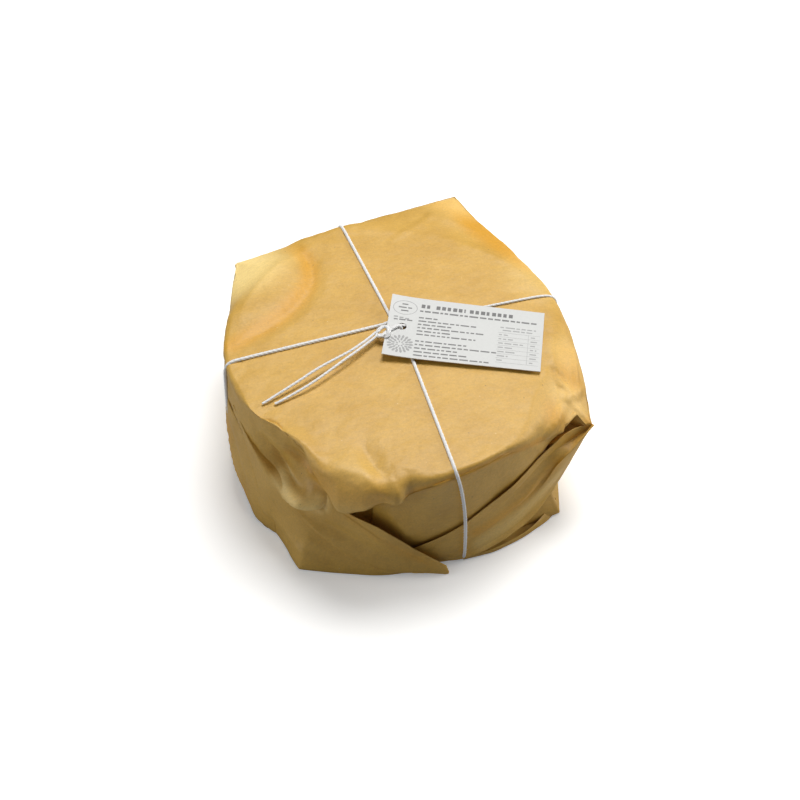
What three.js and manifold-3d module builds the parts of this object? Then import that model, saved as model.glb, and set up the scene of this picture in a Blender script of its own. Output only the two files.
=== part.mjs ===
// Pecorino: a whole wheel of sheep's cheese, shut in kraft paper, tied crosswise with twine and tagged.
// Millimetres, +Z up. The origin is the middle of the underside. The two ends of the paper are folded shut
// on the -Y side (the front) and on the +Y side (the back), and its spare width stands out as four corners.
// A place on the parcel is given as [angle, reach, height]: degrees from +X, mm from the axis and mm above
// the ground.

import * as THREE from 'three';
import { mergeVertices } from 'three/addons/utils/BufferGeometryUtils.js';
import Module from 'manifold-3d';

// Driving dimensions of the wheel in its paper.
const WHEEL_RADIUS = 97.5;
const WHEEL_HEIGHT = 84;
const RIM_RADIUS = 88; // where the flat top starts to turn down
const SHOULDER_BULGE = 3; // how far the paper rounds out over the rind's edge, outward and upward
const SHOULDER_FADE = 12; // the bulge is gone this far outside the wheel, where the paper is unsupported
const FOOT_HEIGHT = 1; // the fold round the underside
const FOOT_INSET = 1.5;

// Twine and card tag.
const TWINE_DIAMETER = 2;
const TAIL_DIAMETER = 1.5; // a loose end is thinner than the taut twine, which is pressed flat
const TWINE_SINK = 0.3; // how far the twine is pressed into the paper
const TWINE_LOWEST = 0.05; // gap between the twine underneath and the ground
const TWINE_SIDES = 6; // of the taut twine
const TAIL_SIDES = 8;
const TAG_LENGTH = 87;
const TAG_WIDTH = 46.6;
const TAG_THICKNESS = 0.5;
const TAG_HOLE_DIAMETER = 5.2;
const TAG_HOLE_INSET = 8.4;
const TAG_CENTRE = [36.1, -15.4];
const TAG_TURN = -25.3;
const TAG_HEIGHT = 87.4; // underside of the card at its punched end
const TAG_DROOP = 2.5; // how much lower its far end lies
const TAG_TWIST = 0.5; // how far its corners stand out of one plane
const TAG_CURL = 1.4; // how far the two corners of the punched end lift

// Pieces that touch keep this gap.
const CLEARANCE = 0.3;

// Fineness of the faceted solids.
const COLUMNS_PER_SIDE = 27;
const ROWS_PER_RING = 2;
const SHOULDER_ROWS = 4;
const FLAP_STATIONS = 15;
const TWINE_STEP = 6;
const STRAND_STEP = 2;
const TAIL_STEP = 4.4;

// The sides of the parcel, as rings from the ground to the brink. share is the part of the brink's height.
// corners are the directions and reaches of the back right, back left, front left and front right corners.
const RINGS = [
  { share: 0, corners: [[52, 113], [128, 111], [225, 115], [308, 114.5]] },
  { share: 0.2, corners: [[53, 108], [127.5, 107], [224, 107], [310, 108]] },
  { share: 0.42, corners: [[54, 106.5], [127, 105], [223, 102.5], [313, 108]] },
  { share: 0.62, corners: [[54.5, 109], [126.5, 106], [223, 102], [316, 112]] },
  { share: 0.8, corners: [[55, 117], [126, 110], [224, 99], [317.5, 117]] },
  { share: 1, corners: [[55.3, 131], [126, 118], [226, 99], [318, 119]] },
];

// The brink, where the top sheet turns down: [angle, height, inset from the ring].
const BRINK = [
  [0, 78, -1.5], [15, 78, -2], [32, 77, -2.5], [45, 76, -1.5], [55.3, 79, 0], [75, 79, 0], [100, 78, 0],
  [126, 74, 0], [150, 76, 1], [175, 77, 1.5], [190, 76, 1.5], [202, 80, 3], [212, 82, 6], [220, 76, 6],
  [226, 70, 3], [230, 60, 0], [236, 49, -2], [243, 54, -1.5], [249, 59.5, -1], [253, 58, -3],
  [257, 64, -1], [270, 70.5, -1], [285, 72, 0], [297, 68, 1], [304, 65.5, 2], [311, 66, 0], [318, 61, 0],
  [325, 66, -1.5], [334, 72, -2.5], [345, 76, -2.5],
];

// Soft forms pressed into or pushed out of the sides: at the front left a scoop with a rolled lobe under it,
// and a hollow under the sagging brink. A puffed pillow of paper lies on the top by the back left corner.
const SOFT_FORM_RISE = 0.2; // share of the height over which each form fades
const BRINK_FADE = 0.7; // share of the height at which the brink's inset begins
const SCOOP = { share: 0.8, angle: 221, spread: 14, depth: 7 };
const LOBE = { share: 0.62, angle: 223, spread: 15, depth: -3.5 };
const HOLLOW = { share: 0.75, angle: 247, spread: 13, depth: 4 };
const PILLOW = { centre: [-73, 66], radius: 43, height: 2.2 };

// Folded flaps, each as three lines along its length: the free upper edge, the ridge and the foot.
const FLAPS = {
  frontRight: {
    upper: [
      [317, 114, 61.5], [303, 103.5, 55], [290, 101.5, 45], [275, 100.5, 32], [262, 99.5, 18], [254, 99, 13],
    ],
    ridge: [
      [318, 119.5, 61], [306, 112, 47], [298, 106.5, 28], [285, 104.5, 17], [272, 103.5, 5], [262, 103, 4],
    ],
    foot: [[314, 112, 40], [309, 107, 14], [298, 105.5, 7], [285, 104, 5], [274, 103, 3], [262, 102, 2]],
  },
  frontLeft: {
    upper: [
      [194, 92, 70], [212, 96, 54], [231, 99.5, 45], [248, 100.5, 28], [259, 102.5, 11], [268, 108, 1.6],
    ],
    ridge: [
      [191, 96, 69], [206, 102, 56], [219, 104, 40], [238, 104.5, 14], [250, 107, 5], [266, 109, 1.2],
    ],
    foot: [
      [190, 97, 30], [206, 104, 2], [225, 115, 0.4], [238, 106.5, 0.4], [252, 106.5, 0.4], [267, 109, 0.4],
    ],
  },
  backRight: {
    upper: [[57, 126, 76], [66, 109, 58], [80, 102, 38], [95, 100, 22], [105, 99.5, 13]],
    ridge: [[55, 130, 77], [62, 114, 48], [76, 106, 22], [90, 104, 8], [103, 103.5, 4]],
    foot: [[53, 112, 20], [62, 109, 2], [76, 106, 0.6], [92, 104, 0.6], [103, 103, 0.6]],
  },
  backLeft: {
    upper: [[124, 115, 74], [116, 106, 56], [104, 102, 36], [93, 103, 15], [88, 108, 1.6]],
    ridge: [[127, 117, 74], [120, 109, 44], [110, 106, 22], [99, 107, 8], [89, 109, 1.2]],
    foot: [[128, 111, 20], [124, 110, 0.4], [112, 107, 0.4], [100, 107, 0.4], [89, 109, 0.4]],
  },
};
const FLAP_BURY = 12; // how far a flap's inner face lies inside the parcel
const FLAP_LOWEST = 0.2;

// The gap left open under the roof of the front right corner, from its shallow end to the corner's tip.
const MOUTH = {
  shallow: { angle: 304, inner: 99.5, low: 57, high: 62.5 },
  tip: { angle: 317, inner: 112, low: 61.9, high: 62.6 },
  outer: 125,
};

// The twine: four arms from the crossing on the top to the crossing underneath. shift is how far beside the
// crossing an arm starts, and drift how far it strays sideways on its way down.
const CROSSING = [3, 6];
const ARMS = {
  back: { direction: 92.8, shift: 1.2, drift: 0 },
  front: { direction: 267.3, shift: 1.2, drift: 7.9 },
  left: { direction: 180.9, shift: -1.1, drift: 4 },
  right: { direction: 357.8, shift: -1.4, drift: 0 },
};
const DRIFT_POWER = 2.6; // most of the straying is near the brink
const HITCH = { radius: 1.6, flatness: 0.66, rise: 0.6 }; // the lump where the arms cross
const KNOT_CENTRE = [-7.4, -2.7, 88.6];
const KNOT_CORE = 1.9;
const KNOT_TURNS = [[0, 0, 2.5], [75, 20, 1.9], [80, 100, 1.9]]; // tilt, turn and radius of each turn
const STRAND_SPREAD = 0.9; // half the distance between the two strands that hold the tag

// The two loose tails of the twine, from the knot to their cut ends, in X, Y, Z.
const TAIL_ROUTES = {
  twine_tail_a: [
    [-11.7, -1.5, 88.6], [-13.7, -2.8, 88.6], [-16.3, -4.4, 88.6], [-19.2, -6.1, 88.7],
    [-23.6, -8.4, 88.8], [-28.3, -10.6, 88.8], [-34.3, -12.8, 88.8], [-40.6, -14.8, 88.7],
    [-46.9, -16.9, 88.5], [-53.5, -19.4, 88.2], [-59.8, -22, 87.7], [-66.2, -24.4, 87.1],
    [-71.2, -26.2, 86.6], [-75.5, -27.6, 86], [-79.9, -29.1, 85.4], [-83.5, -30.2, 85],
  ],
  twine_tail_b: [
    [-11.6, -3.9, 88.2], [-14, -5.3, 88.2], [-16.9, -6.9, 88.2], [-20.2, -8.8, 88.3], [-25.4, -11.7, 88.4],
    [-32, -15.1, 88.5], [-38.8, -18.6, 88.4], [-45.6, -22, 88.1], [-52.2, -25, 87.7], [-58.5, -27.4, 87.1],
    [-64.3, -29.2, 86.5], [-68.4, -30.4, 86.1], [-72, -31.3, 85.6], [-74.7, -31.9, 85.2],
    [-77.1, -32.3, 84.9],
  ],
};

const wasm = await Module();
wasm.setup();

// ---- small helpers ----

const radians = THREE.MathUtils.degToRad;

// [angle, reach, height] as a point.
function polar([angle, reach, height]) {
  return new THREE.Vector3(reach * Math.cos(radians(angle)), reach * Math.sin(radians(angle)), height);
}

// The turn from one direction to another, from -180 to 180 degrees.
function turnBetween(from, to) {
  return THREE.MathUtils.euclideanModulo(to - from + 180, 360) - 180;
}

// 1 in the middle of a soft form, falling smoothly to 0 at its edge.
function softFall(distance, edge) {
  const t = Math.min(1, Math.abs(distance) / edge);
  return 0.5 + 0.5 * Math.cos(Math.PI * t);
}

// A smooth value round the parcel, through rows that start with an angle.
function roundTable(rows, angle, item) {
  const at = THREE.MathUtils.euclideanModulo(angle, 360);
  let next = rows.findIndex((row) => row[0] > at);
  if (next < 0) next = rows.length;
  const a = rows[next - 1];
  const b = rows[next % rows.length];
  const end = next === rows.length ? 360 : b[0];
  const t = THREE.MathUtils.smoothstep(at, a[0], end);
  return THREE.MathUtils.lerp(a[item], b[item], 0.5 * t + 0.5 * (at - a[0]) / (end - a[0]));
}

// A closed mesh as a solid for joining and cutting.
function toSolid(geometry) {
  const bare = geometry.clone();
  bare.deleteAttribute('normal');
  bare.deleteAttribute('uv');
  const merged = mergeVertices(bare, 1e-4);
  const vertProperties = new Float32Array(merged.attributes.position.array);
  const triVerts = new Uint32Array(merged.index.array);
  const solid = new wasm.Manifold(new wasm.Mesh({ numProp: 3, vertProperties, triVerts }));
  return solid.volume() > 0 ? solid : turnedOut(vertProperties, triVerts);
}

// The same solid with its faces turned the other way.
function turnedOut(vertProperties, triVerts) {
  const flipped = triVerts.slice();
  for (let i = 0; i < flipped.length; i += 3) {
    flipped[i + 1] = triVerts[i + 2];
    flipped[i + 2] = triVerts[i + 1];
  }
  return new wasm.Manifold(new wasm.Mesh({ numProp: 3, vertProperties, triVerts: flipped }));
}

// A smooth curve through points, without overshoot.
function easedCurve(points) {
  return new THREE.CatmullRomCurve3(points, false, 'centripetal');
}

function toGeometry(solid) {
  const mesh = solid.getMesh();
  const geometry = new THREE.BufferGeometry();
  geometry.setAttribute('position', new THREE.BufferAttribute(new Float32Array(mesh.vertProperties), 3));
  geometry.setIndex(new THREE.BufferAttribute(new Uint32Array(mesh.triVerts), 1));
  return geometry;
}

// Rows of points joined into a skin. Each row closes on itself, and fans close the first and last rows. Each
// quad is split along its shorter diagonal, so that folds run straight.
function skin(rows) {
  const count = rows[0].length;
  const points = rows.flat();
  const positions = points.flatMap((point) => point.toArray());
  const index = [];
  for (let row = 0; row < rows.length - 1; row += 1) {
    for (let i = 0; i < count; i += 1) {
      const a = row * count + i;
      const b = row * count + (i + 1) % count;
      const c = b + count;
      const d = a + count;
      const alongAC = points[a].distanceTo(points[c]) < points[b].distanceTo(points[d]);
      index.push(...(alongAC ? [a, b, c, a, c, d] : [a, b, d, b, c, d]));
    }
  }
  const last = (rows.length - 1) * count;
  for (let i = 1; i < count - 1; i += 1) {
    index.push(0, i + 1, i);
    index.push(last, last + i, last + i + 1);
  }
  const geometry = new THREE.BufferGeometry();
  geometry.setAttribute('position', new THREE.Float32BufferAttribute(positions, 3));
  geometry.setIndex(index);
  return geometry;
}

// ---- the wheel in its paper ----

// The reach of paper drawn tight round the wheel and a ring's corners.
function ringReach(ring, angle) {
  let reach = WHEEL_RADIUS;
  ring.corners.forEach((corner, i) => {
    const spread = Math.acos(WHEEL_RADIUS / corner[1]);
    const off = radians(Math.abs(turnBetween(corner[0], angle)));
    if (off < spread) reach = Math.max(reach, WHEEL_RADIUS / Math.cos(spread - off));
    reach = Math.max(reach, chordReach(corner, ring.corners[(i + 1) % 4], angle));
  });
  return reach;
}

// The reach of the straight line between two corners, or 0 outside it.
function chordReach(corner, next, angle) {
  const along = turnBetween(corner[0], angle);
  if (along < 0 || along > turnBetween(corner[0], next[0])) return 0;
  const a = polar([corner[0], corner[1], 0]);
  const b = polar([next[0], next[1], 0]);
  const cross = a.x * b.y - a.y * b.x;
  const toward = polar([angle, 1, 0]);
  return cross / (toward.x * (b.y - a.y) - toward.y * (b.x - a.x));
}

// The direction of a column: corners keep their own columns, so that each fold stays one sharp line.
function columnAngle(ring, column) {
  const side = Math.floor(column / COLUMNS_PER_SIDE);
  const from = ring.corners[side][0];
  const turn = THREE.MathUtils.euclideanModulo(ring.corners[(side + 1) % 4][0] - from, 360);
  return from + turn * (column % COLUMNS_PER_SIDE) / COLUMNS_PER_SIDE;
}

function softForm(form, share, angle) {
  const level = softFall(share - form.share, SOFT_FORM_RISE);
  return form.depth * level * softFall(turnBetween(form.angle, angle), form.spread);
}

// A ring between two of the named ones.
function ringBetween(low, high, t) {
  const mix = (i, item) => {
    const turn = turnBetween(low.corners[i][0], high.corners[i][0]);
    if (item === 0) return low.corners[i][0] + turn * t;
    return THREE.MathUtils.lerp(low.corners[i][1], high.corners[i][1], t);
  };
  const corners = [0, 1, 2, 3].map((i) => [mix(i, 0), mix(i, 1)]);
  return { share: THREE.MathUtils.lerp(low.share, high.share, t), corners };
}

function ringRow(ring) {
  const row = [];
  for (let column = 0; column < 4 * COLUMNS_PER_SIDE; column += 1) {
    const angle = columnAngle(ring, column);
    const inset = roundTable(BRINK, angle, 2) * THREE.MathUtils.smoothstep(ring.share, BRINK_FADE, 1);
    const press = [SCOOP, LOBE, HOLLOW].reduce((sum, form) => sum + softForm(form, ring.share, angle), 0);
    const reach = ringReach(ring, angle) - inset - press;
    const height = FOOT_HEIGHT + (roundTable(BRINK, angle, 1) - FOOT_HEIGHT) * ring.share;
    row.push(polar([angle, reach, height]));
  }
  return row;
}

// How far the puffed paper stands above the flat top.
function pillowHeight(point) {
  const away = Math.hypot(point.x - PILLOW.centre[0], point.y - PILLOW.centre[1]);
  return PILLOW.height * softFall(away, PILLOW.radius);
}

// Rows from the brink over the rounded shoulder to the flat top.
function shoulderRow(brinkRow, t) {
  return brinkRow.map((edge) => {
    const flat = Math.hypot(edge.x, edge.y);
    const rim = edge.clone().multiplyScalar(RIM_RADIUS / flat).setZ(WHEEL_HEIGHT);
    const roundness = THREE.MathUtils.clamp(1 - (flat - WHEEL_RADIUS) / SHOULDER_FADE, 0, 1);
    const bulge = SHOULDER_BULGE * roundness * Math.sin(Math.PI * t);
    const out = edge.clone().setZ(0).setLength(bulge).setZ(bulge);
    const point = edge.clone().lerp(rim, t).add(out);
    point.z = Math.min(point.z, WHEEL_HEIGHT) + pillowHeight(point) * t;
    return point;
  });
}

// A row drawn in towards the axis, at one height or on the top sheet.
function drawnIn(row, share) {
  return row.map((point) => point.clone().multiplyScalar(share));
}

function topRow(rim, share) {
  return drawnIn(rim, share).map((point) => point.setZ(WHEEL_HEIGHT + pillowHeight(point)));
}

function parcelGeometry() {
  const foot = ringRow(RINGS[0]);
  const footFlat = foot.map((point) => {
    const reach = Math.hypot(point.x, point.y);
    return point.clone().multiplyScalar((reach - FOOT_INSET) / reach).setZ(0);
  });
  const rows = [drawnIn(footFlat, 0.04), drawnIn(footFlat, 0.55), footFlat];
  for (let i = 0; i < RINGS.length - 1; i += 1) {
    for (let step = 0; step < ROWS_PER_RING; step += 1) {
      rows.push(ringRow(ringBetween(RINGS[i], RINGS[i + 1], step / ROWS_PER_RING)));
    }
  }
  const brink = ringRow(RINGS.at(-1));
  for (let step = 0; step < SHOULDER_ROWS; step += 1) rows.push(shoulderRow(brink, step / SHOULDER_ROWS));
  const rim = shoulderRow(brink, 1);
  [1, 0.76, 0.5, 0.25, 0.03].forEach((share) => rows.push(topRow(rim, share)));
  return skin(rows);
}

// ---- the folded flaps ----

// A point moved inward, to close a flap inside the parcel.
function buried(point) {
  const reach = Math.hypot(point.x, point.y);
  const inner = point.clone().multiplyScalar((reach - FLAP_BURY) / reach);
  return inner.setZ(Math.max(point.z, FLAP_LOWEST));
}

function flapGeometry({ upper, ridge, foot }) {
  const lines = [upper, ridge, foot].map((line) => easedCurve(line.map(polar)));
  const rows = [];
  for (let station = 0; station <= FLAP_STATIONS; station += 1) {
    const [top, middle, low] = lines.map((line) => line.getPoint(station / FLAP_STATIONS));
    low.z = Math.max(low.z, FLAP_LOWEST);
    rows.push([buried(top), top, middle, low, buried(low)]);
  }
  return skin(rows);
}

// The space under the corner's roof, to be cut out of the parcel before its flaps are added.
function mouthGeometry() {
  const rows = [0, 0.25, 0.5, 0.75, 1].map((t) => {
    const at = (item) => THREE.MathUtils.lerp(MOUTH.shallow[item], MOUTH.tip[item], t);
    const [angle, inner, low, high] = ['angle', 'inner', 'low', 'high'].map(at);
    return [[inner, low], [MOUTH.outer, low], [MOUTH.outer, high], [inner, high]]
      .map(([reach, height]) => polar([angle, reach, height]));
  });
  return skin(rows);
}

function wrapperSolid() {
  let solid = toSolid(parcelGeometry()).subtract(toSolid(mouthGeometry()));
  Object.values(FLAPS).forEach((flap) => {
    solid = solid.add(toSolid(flapGeometry(flap)));
  });
  return solid;
}

// ---- the twine ----

// The wrapper cut by an upright half plane, as [distance out, height] points.
function sectionPoints(geometry, start, out) {
  const across = new THREE.Vector3(-out.y, out.x, 0);
  const points = [];
  const corner = new THREE.Vector3();
  const { position } = geometry.attributes;
  const { array } = geometry.index;
  const placed = (k) => {
    corner.fromBufferAttribute(position, array[k]).sub(start);
    return { out: corner.dot(out), side: corner.dot(across), z: corner.z };
  };
  for (let k = 0; k < array.length; k += 3) {
    const triangle = [placed(k), placed(k + 1), placed(k + 2)];
    for (let edge = 0; edge < 3; edge += 1) {
      const a = triangle[edge];
      const b = triangle[(edge + 1) % 3];
      if ((a.side < 0) !== (b.side < 0)) {
        const t = a.side / (a.side - b.side);
        points.push([a.out + (b.out - a.out) * t, a.z + (b.z - a.z) * t]);
      }
    }
  }
  return points.filter((point) => point[0] > 0);
}

// The taut line over a section, from the top of the crossing to the one underneath.
function tautLine(points) {
  const outward = (a, b) => (a[1] > WHEEL_HEIGHT / 2 ? a[0] - b[0] : b[0] - a[0]);
  const sorted = [...points, [0, WHEEL_HEIGHT], [0, 0]].sort((a, b) => b[1] - a[1] || outward(a, b));
  const line = [];
  sorted.forEach((point) => {
    while (line.length > 1) {
      const a = line.at(-2);
      const b = line.at(-1);
      const turn = (b[0] - a[0]) * (point[1] - a[1]) - (b[1] - a[1]) * (point[0] - a[0]);
      if (turn < 0) break;
      line.pop();
    }
    line.push(point);
  });
  return line;
}

// Points at about equal steps along a line of [out, height] points, with its corners eased.
function evenSteps(line, step) {
  const curve = new THREE.CurvePath();
  for (let i = 0; i < line.length - 1; i += 1) {
    curve.add(new THREE.LineCurve(new THREE.Vector2(...line[i]), new THREE.Vector2(...line[i + 1])));
  }
  const points = curve.getSpacedPoints(Math.round(curve.getLength() / step));
  return points.map((point, i) => {
    if (i === 0 || i === points.length - 1) return point;
    return point.clone().multiplyScalar(2).add(points[i - 1]).add(points[i + 1]).divideScalar(4);
  });
}

// One arm of the twine: over the brink, down the side and under, pressed a little into the paper.
function armRoute(geometry, { direction, shift, drift }) {
  const toward = polar([direction, 1, 0]);
  const aside = polar([direction + 90, 1, 0]);
  const start = new THREE.Vector3(...CROSSING, 0).addScaledVector(aside, shift);
  const steps = evenSteps(tautLine(sectionPoints(geometry, start, toward)), TWINE_STEP / 2);
  const lift = TWINE_DIAMETER / 2 - TWINE_SINK;
  const lowest = TWINE_DIAMETER / 2 + TWINE_LOWEST;
  const reach = Math.max(...steps.map((point) => point.x));
  const points = steps.map((point, i) => {
    const ahead = steps[Math.min(i + 1, steps.length - 1)];
    const tangent = ahead.clone().sub(steps[Math.max(i - 1, 0)]).normalize();
    const out = point.x - tangent.y * lift;
    const height = Math.max(point.y + tangent.x * lift, lowest);
    const stray = drift * Math.max(0, 1 - (height / WHEEL_HEIGHT) ** DRIFT_POWER) * Math.max(0, out / reach);
    return start.clone().setZ(height).addScaledVector(toward, out).addScaledVector(aside, stray);
  });
  return easedCurve(points);
}

function circleShape(radius, sides) {
  const points = [];
  for (let i = 0; i < sides; i += 1) {
    const turn = 2 * Math.PI * (i + 0.5) / sides;
    points.push(new THREE.Vector2(radius * Math.cos(turn), radius * Math.sin(turn)));
  }
  return new THREE.Shape(points);
}

function tube(curve, radius, step, sides = TWINE_SIDES) {
  const steps = Math.max(2, Math.round(curve.getLength() / step));
  const shape = circleShape(radius, sides);
  return new THREE.ExtrudeGeometry(shape, { steps, extrudePath: curve, bevelEnabled: false });
}

// The turns of the knot, wound round each other.
function knotSolid() {
  const parts = KNOT_TURNS.map(([tilt, turn, radius]) => {
    const ring = new THREE.TorusGeometry(radius, TAIL_DIAMETER / 2, TWINE_SIDES, 14);
    ring.rotateX(radians(tilt)).rotateZ(radians(turn)).translate(...KNOT_CENTRE);
    return toSolid(ring);
  });
  const core = new THREE.IcosahedronGeometry(KNOT_CORE, 1).translate(...KNOT_CENTRE);
  return parts.reduce((solid, part) => solid.add(part), toSolid(core));
}

// The two strands that come up through the tag's hole and run over its edge to the knot.
function strandCurve(side) {
  const hole = tagPoint(TAG_HOLE_INSET - TAG_LENGTH / 2, side * STRAND_SPREAD);
  const [x, y, z] = KNOT_CENTRE;
  return new THREE.CatmullRomCurve3([
    new THREE.Vector3(...CROSSING, WHEEL_HEIGHT + 1),
    new THREE.Vector3(hole.x - 0.8, hole.y + 2.6, WHEEL_HEIGHT + 1.2),
    new THREE.Vector3(hole.x, hole.y, hole.z - 0.6),
    new THREE.Vector3(hole.x - 0.2, hole.y, hole.z + 0.6),
    new THREE.Vector3(hole.x - 1.8, hole.y - 0.5, hole.z + 1.5),
    new THREE.Vector3(hole.x - 4.5, hole.y - 1.2, hole.z + 1.5),
    new THREE.Vector3(x + 1.5, y + side * 0.6, z + 0.2),
  ]);
}

// The lumps where the arms cross on the top and underneath, or the seats for them in the paper.
function hitchSolid(gap) {
  const { radius, flatness, rise } = HITCH;
  const [x, y] = CROSSING;
  const squash = (radius * flatness + gap) / (radius + gap);
  const lump = new THREE.SphereGeometry(radius + gap, 10, 6).scale(1, 1, squash);
  const under = toSolid(lump.clone().translate(x, y, TWINE_DIAMETER / 2 + TWINE_LOWEST));
  return toSolid(lump.translate(x, y, WHEEL_HEIGHT + rise)).add(under);
}

function twineSolid(routes, tagSolidWithGap) {
  let solid = knotSolid();
  [-1, 1].forEach((side) => {
    solid = solid.add(toSolid(tube(strandCurve(side), TAIL_DIAMETER / 2, STRAND_STEP)));
  });
  solid = solid.subtract(tagSolidWithGap);
  routes.forEach((route) => {
    solid = solid.add(toSolid(tube(route, TWINE_DIAMETER / 2, TWINE_STEP)));
  });
  return solid.add(hitchSolid(0));
}

// ---- the tag ----

// A place on the middle surface of the card: along and across from its centre.
function tagPoint(along, across) {
  const turn = radians(TAG_TURN);
  const s = along / (TAG_LENGTH / 2);
  const t = across / (TAG_WIDTH / 2);
  const droop = TAG_DROOP * (s + 1) / 2 + TAG_TWIST * s * t;
  const curl = TAG_CURL * t ** 2 * Math.max(0, -s) ** 4;
  return new THREE.Vector3(
    TAG_CENTRE[0] + along * Math.cos(turn) - across * Math.sin(turn),
    TAG_CENTRE[1] + along * Math.sin(turn) + across * Math.cos(turn),
    TAG_HEIGHT + TAG_THICKNESS / 2 - droop + curl,
  );
}

function cardSolid(gap, holeRadius) {
  const size = [TAG_LENGTH + 2 * gap, TAG_WIDTH + 2 * gap, TAG_THICKNESS + 2 * gap];
  const card = new THREE.BoxGeometry(...size, 12, 6, 1);
  const { position } = card.attributes;
  for (let i = 0; i < position.count; i += 1) {
    const place = tagPoint(position.getX(i), position.getY(i));
    position.setXYZ(i, place.x, place.y, place.z + position.getZ(i));
  }
  const hole = tagPoint(TAG_HOLE_INSET - TAG_LENGTH / 2, 0);
  const punch = new THREE.CylinderGeometry(holeRadius, holeRadius, 8, 20).rotateX(Math.PI / 2);
  return toSolid(card).subtract(toSolid(punch.translate(hole.x, hole.y, hole.z)));
}

// ---- the whole parcel ----

function addPiece(group, name, geometry, color, roughness) {
  const material = new THREE.MeshStandardMaterial({ color, roughness, metalness: 0 });
  const mesh = new THREE.Mesh(geometry, material);
  mesh.name = name;
  group.add(mesh);
}

function buildPecorino() {
  const group = new THREE.Group();
  let wrapper = wrapperSolid();
  const wrapperGeometry = toGeometry(wrapper);
  const routes = Object.values(ARMS).map((arm) => armRoute(wrapperGeometry, arm));
  routes.forEach((route) => {
    const groove = tube(route, TWINE_DIAMETER / 2 + CLEARANCE, TWINE_STEP);
    wrapper = wrapper.subtract(toSolid(groove));
  });
  wrapper = wrapper.subtract(hitchSolid(CLEARANCE));
  const twine = twineSolid(routes, cardSolid(CLEARANCE, TAG_HOLE_DIAMETER / 2 - CLEARANCE));
  addPiece(group, 'wrapper', toGeometry(wrapper), 0xd9ae65, 0.75);
  addPiece(group, 'twine', toGeometry(twine), 0xe9e1cf, 0.9);
  addPiece(group, 'tag', toGeometry(cardSolid(0, TAG_HOLE_DIAMETER / 2)), 0xecece8, 0.6);
  Object.entries(TAIL_ROUTES).forEach(([name, points]) => {
    const route = easedCurve(points.map((point) => new THREE.Vector3(...point)));
    addPiece(group, name, tube(route, TAIL_DIAMETER / 2, TAIL_STEP, TAIL_SIDES), 0xe9e1cf, 0.9);
  });
  return group;
}

const group = buildPecorino();

export default group;
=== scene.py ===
import math

import bmesh
import bpy
import numpy as np
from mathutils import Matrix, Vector, noise


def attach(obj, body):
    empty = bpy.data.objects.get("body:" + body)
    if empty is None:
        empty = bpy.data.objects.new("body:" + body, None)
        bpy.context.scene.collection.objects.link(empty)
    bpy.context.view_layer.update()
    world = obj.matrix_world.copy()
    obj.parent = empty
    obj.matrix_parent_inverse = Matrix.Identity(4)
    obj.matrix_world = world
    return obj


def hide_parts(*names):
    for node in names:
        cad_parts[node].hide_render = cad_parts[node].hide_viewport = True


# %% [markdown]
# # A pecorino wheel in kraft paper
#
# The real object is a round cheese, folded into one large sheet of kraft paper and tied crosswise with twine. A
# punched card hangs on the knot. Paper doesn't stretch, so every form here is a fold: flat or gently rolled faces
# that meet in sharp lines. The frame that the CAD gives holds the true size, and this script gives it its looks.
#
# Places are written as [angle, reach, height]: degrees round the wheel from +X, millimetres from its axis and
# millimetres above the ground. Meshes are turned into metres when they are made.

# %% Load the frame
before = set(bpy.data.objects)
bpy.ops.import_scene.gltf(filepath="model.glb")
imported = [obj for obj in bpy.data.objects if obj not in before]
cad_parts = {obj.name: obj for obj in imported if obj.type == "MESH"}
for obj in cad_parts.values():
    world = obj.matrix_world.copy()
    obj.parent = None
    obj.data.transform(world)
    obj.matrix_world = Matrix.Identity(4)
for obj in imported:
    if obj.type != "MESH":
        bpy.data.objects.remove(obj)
bpy.context.view_layer.update()
MM = 0.001

# %% [markdown]
# ## Camera
#
# The camera looks down from the front left, as somebody does who stands at a table. It is made first.

# %% Camera
FIELD_OF_VIEW = 35
VIEW_TARGET = Vector((-0.64, -12.11, 39.99)) * MM
VIEW_DISTANCE = 736.1 * MM
VIEW_AZIMUTH, VIEW_ELEVATION = math.radians(-18.08), math.radians(48.23)

camera_data = bpy.data.cameras.new("camera")
camera_data.angle = math.radians(FIELD_OF_VIEW)
camera = bpy.data.objects.new("camera", camera_data)
bpy.context.scene.collection.objects.link(camera)
back = Vector((math.sin(VIEW_AZIMUTH) * math.cos(VIEW_ELEVATION),
               -math.cos(VIEW_AZIMUTH) * math.cos(VIEW_ELEVATION), math.sin(VIEW_ELEVATION)))
camera.location = VIEW_TARGET + back * VIEW_DISTANCE
camera.rotation_mode = "QUATERNION"
camera.rotation_quaternion = (-back).to_track_quat("-Z", "Y")
bpy.context.scene.camera = camera
print("camera at", [round(value, 3) for value in camera.location])

# %% [markdown]
# ## Helpers
#
# A few small tools carry the whole script. `polar` places points round the wheel, `eased` runs a smooth line through
# a short table without overshoot, `curve_through` does the same for points in space, and `make_piece` turns arrays
# of points and faces into an object. Modifiers give thickness and cut holes, and each is applied as soon as it is set.

# %% Places and smooth tables
def polar(angle, reach, height):
    turn = np.radians(angle)
    return np.stack([reach * np.cos(turn), reach * np.sin(turn), height + 0 * turn], axis=-1)


def places(table):
    """[angle, reach, height] rows as points."""
    rows = np.array(table, float)
    return polar(rows[:, 0], rows[:, 1], rows[:, 2])


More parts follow.
